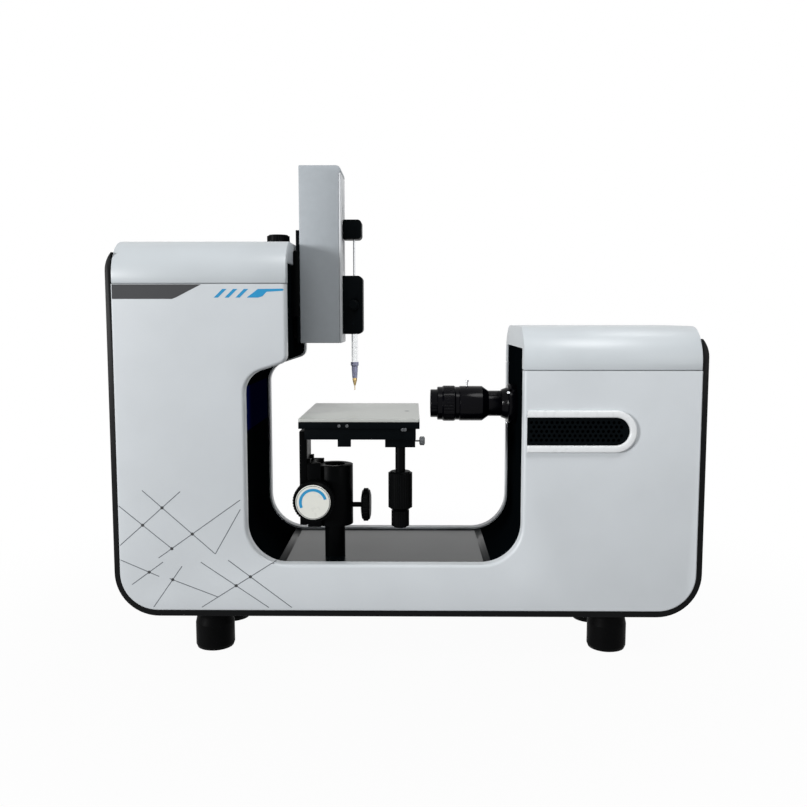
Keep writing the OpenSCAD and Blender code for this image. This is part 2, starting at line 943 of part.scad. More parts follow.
module camera_stand() color("#7a7d82") {
    half = camera_w / 2 + 2;
    top = axis_z - camera_w / 2;
    inset = 8;
    beam(camera_x + inset, camera_x + camera_l - inset)
        difference() {
            translate([-half, base_top])
                square([2 * half, top - base_top]);
            translate([-half + plate_t, base_top + plate_t])
                square([2 * (half - plate_t), top - base_top - 2 * plate_t]);
        }
}

lens_x = bay_x1 - lens_reach;
zoom_x = lens_x + lens_front_l;
barrel_x = zoom_x + zoom_l + slide_gap;
taper_x = barrel_x + barrel_l;
neck_x = taper_x + barrel_taper;
collar_x = wall_x1 - collar_t;
flare_x = collar_x - flare_l;
glass_seat = 3;
glass_t = 4;
light_d = 14;

module lens_barrel() color("#101012") {
    difference() {
        turned_x(0, axis_z)
            polygon([
                [light_d / 2, lens_x + glass_seat + glass_t], [glass_d / 2 + seat_fit, lens_x + glass_seat + glass_t],
                [glass_d / 2 + seat_fit, lens_x], [lens_front_d / 2 - 0.6, lens_x], [lens_front_d / 2, lens_x + 0.6],
                [lens_front_d / 2, zoom_x - slide_gap], [zoom_core_d / 2, zoom_x - slide_gap],
                [zoom_core_d / 2, barrel_x], [barrel_d / 2 - 0.6, barrel_x], [barrel_d / 2, barrel_x + 0.6],
                [barrel_d / 2, taper_x], [neck_d / 2, neck_x], [neck_d / 2, camera_x], [light_d / 2, camera_x]
            ]);
        rod_z(axis_z + zoom_core_d / 2 - 4, axis_z + barrel_d, lock_x, 0, lock_d + 2 * run_fit);
    }
}

module lens_glass() color("#30405c") {
    crown = 1.2;
    crown_r = (glass_d * glass_d / 4 + crown * crown) / (2 * crown);
    back = lens_x + glass_seat + glass_t;
    intersection() {
        rod_x(back - glass_t, back, 0, axis_z, glass_d);
        translate([back - glass_t + crown_r, 0, axis_z])
            sphere(r = crown_r, $fn = 160);
    }
}

// Barrel-shaped ring with grip grooves along it
module zoom_ring() color("#1d1e21") {
    r = zoom_d / 2;
    edge = r - 1.1;
    band = zoom_l * 0.22;
    difference() {
        turned_x(0, axis_z)
            polygon([
                [zoom_core_d / 2 + run_fit, zoom_x], [edge - 0.5, zoom_x], [edge, zoom_x + 0.5],
                [edge, zoom_x + band], [r, zoom_x + band + 1.5], [r, zoom_x + zoom_l - band],
                [edge, zoom_x + zoom_l - band + 1.5], [edge, zoom_x + zoom_l], [zoom_core_d / 2 + run_fit, zoom_x + zoom_l]
            ]);
        translate([zoom_x + band + 2, 0, axis_z])
            rotate([0, 90, 0])
                for (i = [0 : 35])
                    rotate(10 * i)
                        translate([r + 0.2, 0, 0])
                            cylinder(h = zoom_l - 2 * band - 2.5, d = 1.4, $fn = 16);
    }
}

lock_d = 1.6;
lock_x = barrel_x + 8;
lock_head_d = 3.4;
lock_head_h = 2.6;

module zoom_lock_screw() color("#3b3d42") {
    foot_z = axis_z + zoom_core_d / 2 - 3.5;
    head_z0 = axis_z + barrel_d / 2 + 3.6;
    rod_z(foot_z, head_z0 + 1, lock_x, 0, lock_d);
    translate([lock_x, 0, head_z0])
        knob(lock_head_d, lock_head_h, 0.4, 10, 0.7);
}

module lens_collar() color("#18191b") {
    difference() {
        turned_x(0, axis_z)
            polygon([
                [neck_d / 2 + seat_fit, flare_x], [neck_d / 2 + 1.2, flare_x], [collar_d / 2 - 3.5, collar_x],
                [collar_d / 2 - 0.8, collar_x], [collar_d / 2, collar_x + 0.8], [collar_d / 2, wall_x1],
                [neck_d / 2 + seat_fit, wall_x1]
            ]);
        for (a = [45 : 90 : 315])
            translate([collar_x + 2.5, 0, axis_z])
                rotate([a, 0, 0])
                    translate([0, 0, collar_d / 2 - 2])
                        cylinder(h = 4, d = 3.4, $fn = 24);
    }
}

// Supply and electronics inside the towers

module power_supply() color("#9a9da2") {
    x0 = -base_half + inside_gap;
    box([x0, -supply_d / 2, base_top], [x0 + supply_l, supply_d / 2, base_top + supply_h]);
}

board_t = 1.6;
standoff_d = 6;
chip_h = 3;

module control_board() color("#1f5a3a") {
    x1 = base_half - inside_gap;
    x0 = x1 - board_w;
    z0 = base_top + board_up;
    half = board_d / 2;
    box([x0, -half, z0], [x1, half, z0 + board_t]);
    for (x = [x0 + standoff_d, x1 - standoff_d], y = [standoff_d - half, half - standoff_d])
        rod_z(base_top, z0 + board_t / 2, x, y, standoff_d);
    for (i = [-1 : 1])
        translate([0, i * board_d / 4, z0 + board_t / 2])
            box([x0 + board_w / 3, -board_d / 12, 0], [x1 - board_w / 3, board_d / 12, board_t / 2 + chip_h]);
}

// Power inlet with its rocker switch, in the rear panel

socket_w = 22;
socket_h = 15.5;
socket_depth = 16;
socket_down = 11;
well_w = rocker_w + 2 * 0.4;
well_l = rocker_l + 2 * 1.2;
well_depth = 14;

module power_inlet() color("#17181a") {
    difference() {
        union() {
            box(
                [inlet_x - inlet_w / 2, face_y - inlet_depth, inlet_z - inlet_h / 2],
                [inlet_x + inlet_w / 2, face_y + inlet_proud / 2, inlet_z + inlet_h / 2]
            );
            box(
                [inlet_x - inlet_w / 2 - inlet_flange, face_y, inlet_z - inlet_h / 2 - inlet_flange],
                [inlet_x + inlet_w / 2 + inlet_flange, face_y + inlet_proud, inlet_z + inlet_h / 2 + inlet_flange]
            );
        }
        slab(face_y - socket_depth, face_y + inlet_proud + over)
            rounded(
                [
                    [inlet_x - socket_w / 2, inlet_z - socket_down - socket_h / 2],
                    [inlet_x + socket_w / 2, inlet_z - socket_down - socket_h / 2],
                    [inlet_x + socket_w / 2, inlet_z - socket_down + socket_h / 2],
                    [inlet_x - socket_w / 2, inlet_z - socket_down + socket_h / 2]
                ],
                [1, 1, 5, 5]
            );
        box(
            [inlet_x - well_w / 2, face_y - well_depth, inlet_z + rocker_up - well_l / 2],
            [inlet_x + well_w / 2, face_y + inlet_proud + over, inlet_z + rocker_up + well_l / 2]
        );
        rod_x(
            inlet_x - well_w / 2 - rocker_pin_l, inlet_x + well_w / 2 + rocker_pin_l,
            rocker_y, inlet_z + rocker_up, rocker_pin_d + 2 * run_fit
        );
    }
    for (pin = [[-7, -2.2], [0, 2], [7, -2.2]])
        translate([inlet_x + pin[0] - 1, face_y - socket_depth - over, inlet_z - socket_down + pin[1] - 2])
            cube([2, 11, 4]);
}

module power_rocker() color("#232427") {
    half = rocker_l / 2;
    translate([inlet_x, rocker_y, inlet_z + rocker_up]) {
        rotate([rocker_rest, 0, 0])
            beam(-rocker_w / 2, rocker_w / 2)
                polygon([[-7, 5.5 - half], [1.6, -half], [0.9, 0], [1.6, half], [-7, half - 5.5]]);
        rod_x(-rocker_w / 2 - rocker_pin_l, rocker_w / 2 + rocker_pin_l, 0, 0, rocker_pin_d);
    }
}

// Lift of the dosing unit

module rail_pair(grow, x0, x1, z0, z1) {
    for (y = [-rail_y, rail_y])
        box([x0, y - rail_w / 2 - grow, z0], [x1, y + rail_w / 2 + grow, z1]);
}

cap_front = head_x + slide_gap;
guide_x1 = column_x0 - 2 * slide_gap;
rail_x0 = column_x0 - rail_t;
window_top = left_seam + tab_h - window_lap;

module guide_blocks() color("#121214") {
    difference() {
        for (y = [-rail_y, rail_y]) {
            box(
                [wall_x0, y - guide_w / 2, guide_low],
                [guide_x1, y + guide_w / 2, window_top - slide_gap]
            );
            box([cap_front, y - guide_w / 2, guide_low], [guide_x1, y + guide_w / 2, guide_top]);
        }
        rail_pair(slide_gap, rail_x0 - slide_gap, guide_x1 + over, guide_low - over, guide_top + over);
    }
}

module column_rails() color("#8f9298") {
    rail_pair(0, rail_x0, column_x0, column_z + over, column_z + over + rail_l);
}

wall_in = wall_x0 - sheet_t;
bearing_low = arm_z - arm_h / 2 - lift_low - 2 - bearing_t;
bearing_high = arm_z + arm_h / 2 + lift_high + 2;
nut_x0 = lift_x - nut_w / 2;

module screw_bearings() color("#55585e") {
    difference() {
        for (z = [bearing_low, bearing_high])
            box([nut_x0, -nut_w / 2, z], [wall_in, nut_w / 2, z + bearing_t]);
        rod_z(bearing_low - over, bearing_high + bearing_t + over, lift_x, 0, lift_screw_d + 2 * run_fit);
    }
}

lift_knob_z = left_top + slide_gap;
knob_bore = lift_knob_h - 3;

module lift_screw() color("#a9adb3") {
    collar_z = bearing_high + bearing_t + slide_gap;
    rod_z(bearing_low, lift_knob_z + knob_bore - seat_fit, lift_x, 0, lift_screw_d);
    rod_z(collar_z, collar_z + 6, lift_x, 0, lift_screw_d + 5);
}

module lift_knob() color("#0f0f11") {
    translate([lift_x, 0, lift_knob_z])
        difference() {
            knob(lift_knob_d, lift_knob_h, 1.2, 30, 1.6);
            translate([0, 0, -over])
                cylinder(h = knob_bore + over, d = lift_screw_d + 2 * run_fit);
        }
}

module lift_arm() color("#7d8086") {
    difference() {
        union() {
            box(
                [nut_x0, -nut_w / 2, arm_z - arm_h / 2],
                [wall_in - over, nut_w / 2, arm_z + arm_h / 2]
            );
            box([lift_x, -arm_w / 2, arm_z - arm_h / 2], [column_x0, arm_w / 2, arm_z + arm_h / 2]);
        }
        rod_z(arm_z - arm_h, arm_z + arm_h, lift_x, 0, lift_screw_d + 2 * run_fit);
    }
}

// Dosing column with its pump

module column_shell() color("#85898f") {
    half = column_d / 2;
    difference() {
        slab(-half, half)
            difference() {
                rounded(
                    [
                        [column_x0, column_z], [column_x1, column_z],
                        [column_x1, column_top], [column_x0, column_top]
                    ],
                    [0, 0, column_r, 0]
                );
                translate([face_x, column_z - over])
                    square([face_t + over, face_top - column_z + over]);
            }
        slab(-half + sheet_t, half - sheet_t)
            polygon([
                [column_x0 + sheet_t, column_z + sheet_t], [face_x + over, column_z + sheet_t],
                [face_x + over, face_top], [face_x, face_top], [face_x, column_top - sheet_t],
                [column_x0 + sheet_t, column_top - sheet_t]
            ]);
    }
    difference() {
        rod_z(column_z, column_z + sheet_t + boss_h, pump_x, 0, boss_d);
        rod_z(column_z + 2 * sheet_t, column_top, pump_x, 0, pump_screw_d + 2 * run_fit);
    }
}

module column_face() color("#a3a7ad") {
    half = column_d / 2;
    slot_w = carriage_arm + 2 * slide_gap;
    difference() {
        box([face_x, -half, column_z], [column_x1, half, face_top - seat_fit]);
        box(
            [face_x - over, -slot_w / 2, pusher_z - carriage_h / 2 - push_low - slot_gap],
            [column_x1 + over, slot_w / 2, pusher_z + carriage_h / 2 + push_high + slot_gap]
        );
    }
}

motor_z = column_top - sheet_t - motor_h;

module pump_motor() color("#1c1d20") {
    half = motor_w / 2;
    cut = 3;
    difference() {
        translate([pump_x, 0, motor_z])
            linear_extrude(motor_h)
                polygon([
                    [cut - half, -half], [half - cut, -half], [half, cut - half], [half, half - cut],
                    [half - cut, half], [cut - half, half], [-half, half - cut], [-half, cut - half]
                ]);
        rod_z(motor_z - over, motor_z + screw_seat, pump_x, 0, pump_screw_d + 2 * run_fit);
    }
}

module pump_screw() color("#b4b7bc") {
    rod_z(column_z + 2 * sheet_t + slide_gap, motor_z + screw_seat - slide_gap, pump_x, 0, pump_screw_d);
    rod_z(motor_z - slide_gap - collar_h, motor_z - slide_gap, pump_x, 0, pump_screw_d + 6);
}

module guide_rods() color("#c2c5ca") {
    for (y = [-guide_y, guide_y])
        rod_z(column_z + sheet_t, motor_z, pump_x, y, guide_d);
}

block_x0 = column_x1 + 2 * slide_gap;
block_x1 = needle_x + 8;

module pump_carriage() color("#8a8d93") {
    half = carriage_h / 2;
    difference() {
        union() {
            box(
                [column_x0 + 2 * sheet_t, -guide_y - 4, pusher_z - half],
                [face_x - 2 * slide_gap, guide_y + 4, pusher_z + half]
            );
            box([pump_x, -carriage_arm / 2, pusher_z - half], [block_x0, carriage_arm / 2, pusher_z + half]);
        }
        rod_z(pusher_z - carriage_h, pusher_z + carriage_h, pump_x, 0, pump_screw_d + 2 * run_fit);
        for (y = [-guide_y, guide_y])
            rod_z(pusher_z - carriage_h, pusher_z + carriage_h, pump_x, y, guide_d + 2 * run_fit);
    }
}

module pusher_block() color("#0e0e10") {
    low = pusher_z - pusher_h / 2;
    high = pusher_z + pusher_h / 2;
    round_r = 4;
    difference() {
        slab(-clamp_d / 2, clamp_d / 2)
            rounded(
                [[block_x0, low], [block_x1, low], [block_x1, high], [block_x0, high]],
                [0, round_r, round_r, 0]
            );
        rod_z(low - over, pusher_z + 2, needle_x, 0, plunger_d + 2 * seat_fit);
    }
}

module plunger() color("#b9bcc2") {
    rod_z(rod_low, pusher_z + 2 - slide_gap, needle_x, 0, plunger_d);
    rod_z(rod_low - seal_h, rod_low + 0.5, needle_x, 0, syringe_bore - 2 * run_fit);
}

clamp_x1 = column_x1 + clamp_w;
thumb_z = clamp_z + clamp_h / 2;
thumb_d = 4;
thumb_head_d = 10.5;
thumb_head_l = 7.5;

module barrel_clamp() color("#0e0e10") {
    round_r = 5;
    difference() {
        slab(-clamp_d / 2, clamp_d / 2)
            rounded(
                [
                    [column_x1, clamp_z], [clamp_x1, clamp_z],
                    [clamp_x1, clamp_z + clamp_h], [column_x1, clamp_z + clamp_h]
                ],
                [0, round_r, round_r, 0]
            );
        rod_z(clamp_z - over, clamp_z + clamp_h + over, needle_x, 0, syringe_d + 2 * seat_fit);
        rod_y(-clamp_d / 2 - over, 0, needle_x, thumb_z, thumb_d + 2 * run_fit);
    }
}

module barrel_clamp_screw() color("#2a2b2e") {
    front = -clamp_d / 2 - slide_gap;
    rod_y(front - 1, -syringe_d / 2 - slide_gap, needle_x, thumb_z, thumb_d);
    translate([needle_x, front, thumb_z])
        rotate([90, 0, 0])
            knob(thumb_head_d, thumb_head_l, 0.8, 18, 1.2);
}

module syringe_barrel() color("#e6eef2") {
    difference() {
        rod_z(glass_z, clamp_z + clamp_h - slide_gap, needle_x, 0, syringe_d);
        rod_z(glass_z + hub_socket, clamp_z + clamp_h + over, needle_x, 0, syringe_bore);
        rod_z(glass_z - over, glass_z + hub_socket + over, needle_x, 0, needle_d);
    }
}

module needle_hub() color("#5668c4") {
    r = hub_d / 2;
    neck = r - 0.9;
    foot_r = r * 0.62;
    socket_r = syringe_d / 2 + seat_fit;
    turned_z(needle_x, 0)
        polygon([
            [needle_d / 2, hub_z], [foot_r, hub_z], [neck, hub_z + hub_l * 0.55], [neck, hub_z + hub_l - 4.2],
            [r, hub_z + hub_l - 3.6], [r, hub_z + hub_l], [socket_r, hub_z + hub_l],
            [socket_r, glass_z], [needle_d / 2, glass_z]
        ]);
}

module needle() color("#c7a24a") {
    ferrule_r = hub_d / 2 * 0.58;
    ferrule_l = needle_l * 0.62;
    turned_z(needle_x, 0)
        polygon([
            [0, tip_z], [needle_d / 2, tip_z], [needle_d / 2, hub_z - ferrule_l], [needle_d, hub_z - ferrule_l],
            [ferrule_r, hub_z - 2], [ferrule_r, hub_z], [0, hub_z]
        ]);
}

// Stage lift

module stage_post() color("#0f1011") {
    bevel = 1;
    turned_z(post_x, post_y)
        polygon([
            [0, floor_z - post_stud_l], [post_stud_d / 2, floor_z - post_stud_l], [post_stud_d / 2, floor_z],
            [post_d / 2, floor_z], [post_d / 2, post_top - bevel], [post_d / 2 - bevel, post_top], [0, post_top]
        ]);
}

// Dovetail key of the lift, drawn out from the rack's root, widened by grow
module dovetail(grow) {
    for (y = [-dovetail_y, dovetail_y])
        translate([rack_root_x, post_y + y])
            polygon([
                [-over, -dovetail_root / 2 - grow], [dovetail_h + grow, -dovetail_end / 2 - grow],
                [dovetail_h + grow, dovetail_end / 2 + grow], [-over, dovetail_root / 2 + grow]
            ]);
}

module post_sleeve() color("#111214") {
    difference() {
        union() {
            rod_z(sleeve_z, sleeve_top, post_x, post_y, sleeve_d);
            box([housing_x0, post_y - housing_d / 2, sleeve_z], [post_x - sleeve_d / 3, post_y + housing_d / 2, housing_top]);
        }
        rod_z(sleeve_z - over, housing_top + over, post_x, post_y, post_d + 2 * run_fit);
        rod_z(sleeve_top, housing_top + over, post_x, post_y, sleeve_d);
        translate([0, 0, sleeve_z - over])
            linear_extrude(housing_top - sleeve_z + 2 * over)
                dovetail(slide_gap * 0.8);
        box(
            [housing_x0 - over, post_y - gear_w / 2 - slide_gap, sleeve_z - over],
            [rack_root_x + dedendum + addendum + slide_gap, post_y + gear_w / 2 + slide_gap, housing_top + over]
        );
        rod_y(
            post_y - gear_w / 2 - slide_gap, post_y + gear_w / 2 + slide_gap,
            pinion_x, pinion_z, 2 * (pitch_r + addendum + slide_gap)
        );
        rod_y(
            post_y - housing_d / 2 - over, post_y + housing_d / 2 + over,
            pinion_x, pinion_z, pinion_shaft_d + 2 * run_fit
        );
        rod_x(post_x, post_x + sleeve_d, post_y, clamp_screw_z, clamp_screw_d + 2 * run_fit);
    }
}

module sleeve_clamp_knob() color("#0f1011") {
    knob_x = post_x + sleeve_d / 2 + clamp_neck;
    r = clamp_knob_d / 2;
    rim = r - 0.8;
    band = clamp_knob_t * 0.28;
    rod_x(post_x + post_d / 2 + slide_gap, knob_x + 1, post_y, clamp_screw_z, clamp_screw_d);
    turned_x(post_y, clamp_screw_z)
        polygon([
            [0, knob_x], [r * 0.5, knob_x], [r * 0.84, knob_x + 1], [rim, knob_x + band],
            [rim, knob_x + clamp_knob_t - band], [r * 0.88, knob_x + clamp_knob_t - 1],
            [r * 0.65, knob_x + clamp_knob_t], [0, knob_x + clamp_knob_t]
        ]);
    translate([knob_x + band, post_y, clamp_screw_z])
        rotate([0, 90, 0])
            linear_extrude(clamp_knob_t - 2 * band)
                fluted(clamp_knob_d, 24, 2.2);
}

// Pinion outline about its own centre, one tooth pointing to the rack
module pinion_outline() {
    half = (rack_pitch / 2 - backlash) / 2;
    tip_half = half * 0.5;
    root_half = half * 1.2;
    root_r = pitch_r - dedendum;
    union() {
        circle(r = root_r);
        for (i = [0 : pinion_n - 1])
            rotate(360 * i / pinion_n + 180)
                polygon([
                    [root_r - 1, -root_half], [root_r, -root_half], [pitch_r, -half], [pitch_r + addendum, -tip_half],
                    [pitch_r + addendum, tip_half], [pitch_r, half], [root_r, root_half], [root_r - 1, root_half]
                ]);
    }
}

focus_reach = housing_d / 2 + slide_gap + focus_t;
knob_web = 4;

module pinion_shaft() color("#9fa3a9") {
    grip = focus_reach - knob_web;
    rod_y(post_y - grip, post_y + grip, pinion_x, pinion_z, pinion_shaft_d);
    translate([pinion_x, post_y + gear_w / 2, pinion_z])
        rotate([90, 0, 0])
            linear_extrude(gear_w)
                pinion_outline();
}

// Front and rear, mirrored about the post
module both_knobs() {
    for (end = [-1, 1])
        translate([pinion_x, post_y + end * (focus_reach - focus_t), pinion_z])
            rotate([end * -90, 0, 0])
                children();
}

module focus_knobs() color("#141517") {
    both_knobs()
        difference() {
            knob(focus_d, focus_t, 1.5, 44, 1.8);
            translate([0, 0, -over])
                cylinder(h = focus_t - knob_web + seat_fit + over, d = pinion_shaft_d + 2 * seat_fit);
        }
}

module focus_caps() color("#e8ebee") {
    both_knobs()
        translate([0, 0, focus_t])
            rotate_extrude()
                polygon([
                    [0, 0], [focus_cap_d / 2, 0], [focus_cap_d / 2, 0.8], [focus_cap_d / 2 - 0.6, 1.4], [0, 1.4]
                ]);
}

// Bracket of the lift: rack and dovetail below, carrying plate of the stage above
module lift_bracket() color("#131416") {
    y0 = post_y - bracket_d / 2;
    y1 = post_y + bracket_d / 2;
    rack_h = carry_z - 22 - carriage_low;
    half = (rack_pitch / 2 - backlash) / 2;
    lean = tan(20);
    root_half = half + lean * dedendum;
    below = floor((pinion_z - carriage_low - root_half) / rack_pitch - 0.5);
    above = floor((carriage_low + rack_h - pinion_z - root_half) / rack_pitch - 0.5);
    difference() {
        union() {
            box([bracket_x0, y0, carriage_low], [rack_root_x, y1, carry_z + carry_t]);
            box([bracket_x0, -carry_d / 2, carry_z], [slide_x1, carry_d / 2, carry_z + carry_t]);
            translate([0, 0, carriage_low])
                linear_extrude(rack_h)
                    dovetail(0);
            slab(post_y - gear_w / 2, post_y + gear_w / 2)
                for (i = [-1 - below : above])
                    translate([rack_root_x, pinion_z + (i + 0.5) * rack_pitch])
                        polygon([
                            [-over, -root_half], [0, -root_half],
                            [dedendum + addendum, -half + lean * addendum],
                            [dedendum + addendum, half - lean * addendum],
                            [0, root_half], [-over, root_half]
                        ]);
        }
        box(
            [coax_x - coax_block_w / 2 - 3, -carry_d, carry_z - over],
            [slide_x1 + over, coax_y + coax_block_d / 2 + y_travel + 3, carry_z + carry_t + over]
        );
        for (x = y_rib_x)
            box(
                [x - rib_w / 2 - slide_gap, -carry_d, carry_z + carry_t - rib_h - slide_gap],
                [x + rib_w / 2 + slide_gap, carry_d, carry_z + carry_t + over]
            );
    }
}

module y_slide() color("#161719") {
    half = slide_d / 2;
    difference() {
        union() {
            box([slide_x0, -half, y_slide_z], [slide_x1, half, y_slide_z + y_slide_t]);
            for (y = [-half, half - apron_t])
                box([slide_x0, y, carry_z], [slide_x1, y + apron_t, y_slide_z + 1]);
            for (x = y_rib_x)
                box([x - rib_w / 2, apron_t - half, y_slide_z - rib_h], [x + rib_w / 2, half - apron_t, y_slide_z + 1]);
            box(
                [coax_x - coax_block_w / 2, coax_y - coax_block_d / 2, coax_block_z],
                [coax_x + coax_block_w / 2, coax_y + coax_block_d / 2, y_slide_z + 1]
            );
            box(
                [lock_block_x, -half, carry_z - lock_block_h],
                [lock_block_x + lock_block_w, -half + apron_t, carry_z + 1]
            );
        }
        for (y = [-x_rib_y, x_rib_y])
            box(
                [slide_x0 - over, y - rib_w / 2 - slide_gap, y_slide_z + y_slide_t - rib_h - slide_gap],
                [slide_x1 + over, y + rib_w / 2 + slide_gap, y_slide_z + y_slide_t + over]
            );
        rod_z(coax_block_z - over, y_slide_z, coax_x, coax_y, tube_d + 2 * run_fit);
        rod_x(lock_foot - slide_gap, slide_x1 + coax_block_w, coax_y, lock_z, lock_d + 2 * run_fit);
    }
}

module y_drive_knob() color("#121315") {
    difference() {
        union() {
            translate([coax_x, coax_y, y_knob_z])
                knob(y_knob_d, y_knob_h, 1.5, 32, 1.6);
            rod_z(y_knob_z + 1, y_slide_z - 2 * slide_gap, coax_x, coax_y, tube_d);
        }
        rod_z(y_knob_z - over, y_slide_z, coax_x, coax_y, core_d + 2 * run_fit);
    }
}

module x_drive_knob() color("#121315") {
    translate([coax_x, coax_y, x_knob_z])
        knob(x_knob_d, x_knob_h, 1.5, 26, 1.5);
    rod_z(x_knob_z + 1, y_slide_z - 2 * slide_gap, coax_x, coax_y, core_d);
}

lock_z = coax_block_z + 5;
lock_foot = coax_x + tube_d / 2 + 3;
lock_head_x = coax_x + coax_block_w / 2 + 4;

module stage_lock_screw() color("#5c5f65") {
    head_d = 8.6;
    head_l = 5.3;
    rod_x(lock_foot, lock_head_x + 1, coax_y, lock_z, lock_d);
    translate([lock_head_x, coax_y, lock_z])
        rotate([0, 90, 0])
            knob(head_d, head_l, 0.6, 14, 1.2);
}

module x_slide() color("#161719") {
    half = table_d / 2;
    box([table_x0, -half, x_slide_z], [table_x0 + table_w, half, x_slide_z + x_slide_t]);
    for (y = [-x_rib_y, x_rib_y])
        box(
            [slide_x0, y - rib_w / 2, x_slide_z - rib_h],
            [slide_x1, y + rib_w / 2, x_slide_z + 1]
        );
}

module sample_table() color("#a6a9ad") {
    half = table_d / 2;
    round_r = 2;
    translate([0, 0, table_z - table_t])
        linear_extrude(table_t)
            rounded(
                [
                    [table_x0, -half], [table_x0 + table_w, -half],
                    [table_x0 + table_w, half], [table_x0, half]
                ],
                [round_r, round_r, round_r, round_r]
            );
}

outer_wrap();
bottom_cover();
inner_liner();
front_panel();
rear_panel();
left_top_cover();
right_top_cover();
vent_bezels();
vent_grilles();
base_plate();
bay_support();
foot_front_left();
foot_front_right();
foot_rear_left();
foot_rear_right();
backlight_diffuser();
backlight_housing();
camera_body();
camera_stand();
lens_collar();
lens_barrel();
lens_glass();
zoom_ring();
zoom_lock_screw();
power_supply();
control_board();
power_inlet();
power_rocker();
guide_blocks();
screw_bearings();
lift_screw();
lift_knob();
lift_arm();
column_rails();
column_shell();
column_face();
pump_motor();
pump_screw();
guide_rods();
pump_carriage();
pusher_block();
plunger();
barrel_clamp();
barrel_clamp_screw();
syringe_barrel();
needle_hub();
needle();
stage_post();
post_sleeve();
sleeve_clamp_knob();
pinion_shaft();
focus_knobs();
focus_caps();
lift_bracket();
y_slide();
y_drive_knob();
x_drive_knob();
stage_lock_screw();
x_slide();
sample_table();
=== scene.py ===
"""Looks of a contact angle tester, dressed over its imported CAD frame.

Everything is in metres in the CAD's own frame: +X to the right, +Y to the rear, +Z up.
Sizes below are written in millimetres and pass through MM.
"""

import json
import math

import bmesh
import bpy
from mathutils import Matrix, Vector


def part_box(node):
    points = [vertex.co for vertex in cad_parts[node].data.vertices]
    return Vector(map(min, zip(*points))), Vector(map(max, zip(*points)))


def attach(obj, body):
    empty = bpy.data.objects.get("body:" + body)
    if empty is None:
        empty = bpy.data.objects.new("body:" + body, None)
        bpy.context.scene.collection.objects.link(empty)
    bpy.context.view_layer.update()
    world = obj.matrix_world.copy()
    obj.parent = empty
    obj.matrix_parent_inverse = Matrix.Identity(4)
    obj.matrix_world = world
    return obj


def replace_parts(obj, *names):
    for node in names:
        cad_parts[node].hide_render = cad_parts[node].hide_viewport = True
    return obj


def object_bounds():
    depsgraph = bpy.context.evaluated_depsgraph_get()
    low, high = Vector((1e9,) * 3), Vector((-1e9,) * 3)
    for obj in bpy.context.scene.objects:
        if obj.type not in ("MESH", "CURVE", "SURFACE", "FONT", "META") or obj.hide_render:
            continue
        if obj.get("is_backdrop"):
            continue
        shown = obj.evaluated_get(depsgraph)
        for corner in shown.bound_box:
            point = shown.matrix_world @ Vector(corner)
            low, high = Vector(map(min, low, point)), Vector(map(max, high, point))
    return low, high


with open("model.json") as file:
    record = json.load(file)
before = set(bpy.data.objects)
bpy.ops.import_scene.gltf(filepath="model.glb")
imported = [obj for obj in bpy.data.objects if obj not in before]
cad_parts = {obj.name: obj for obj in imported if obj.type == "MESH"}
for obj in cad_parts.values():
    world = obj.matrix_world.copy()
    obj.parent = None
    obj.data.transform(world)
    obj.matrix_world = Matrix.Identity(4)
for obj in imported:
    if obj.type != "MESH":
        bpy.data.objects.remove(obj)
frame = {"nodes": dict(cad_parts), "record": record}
cad_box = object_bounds()

MM = 0.001
behaviour = frame["record"]["behaviour"]
BODY_OF = {node: body for body, members in behaviour["bodies"].items() for node in members}
SLOT_OF = {part["node"]: part["material_slot"] for part in frame["record"]["subparts"]}


def span(node):
    """Lowest and highest corner of a CAD node, in millimetres."""
    low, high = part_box(node)
    return low / MM, high / MM


# Finishes


def linear(*srgb):
    """Linear colour of an 8-bit screen colour."""
    return tuple(
        c / 255 / 12.92 if c <= 10 else ((c / 255 + 0.055) / 1.055) ** 2.4 for c in srgb
    )


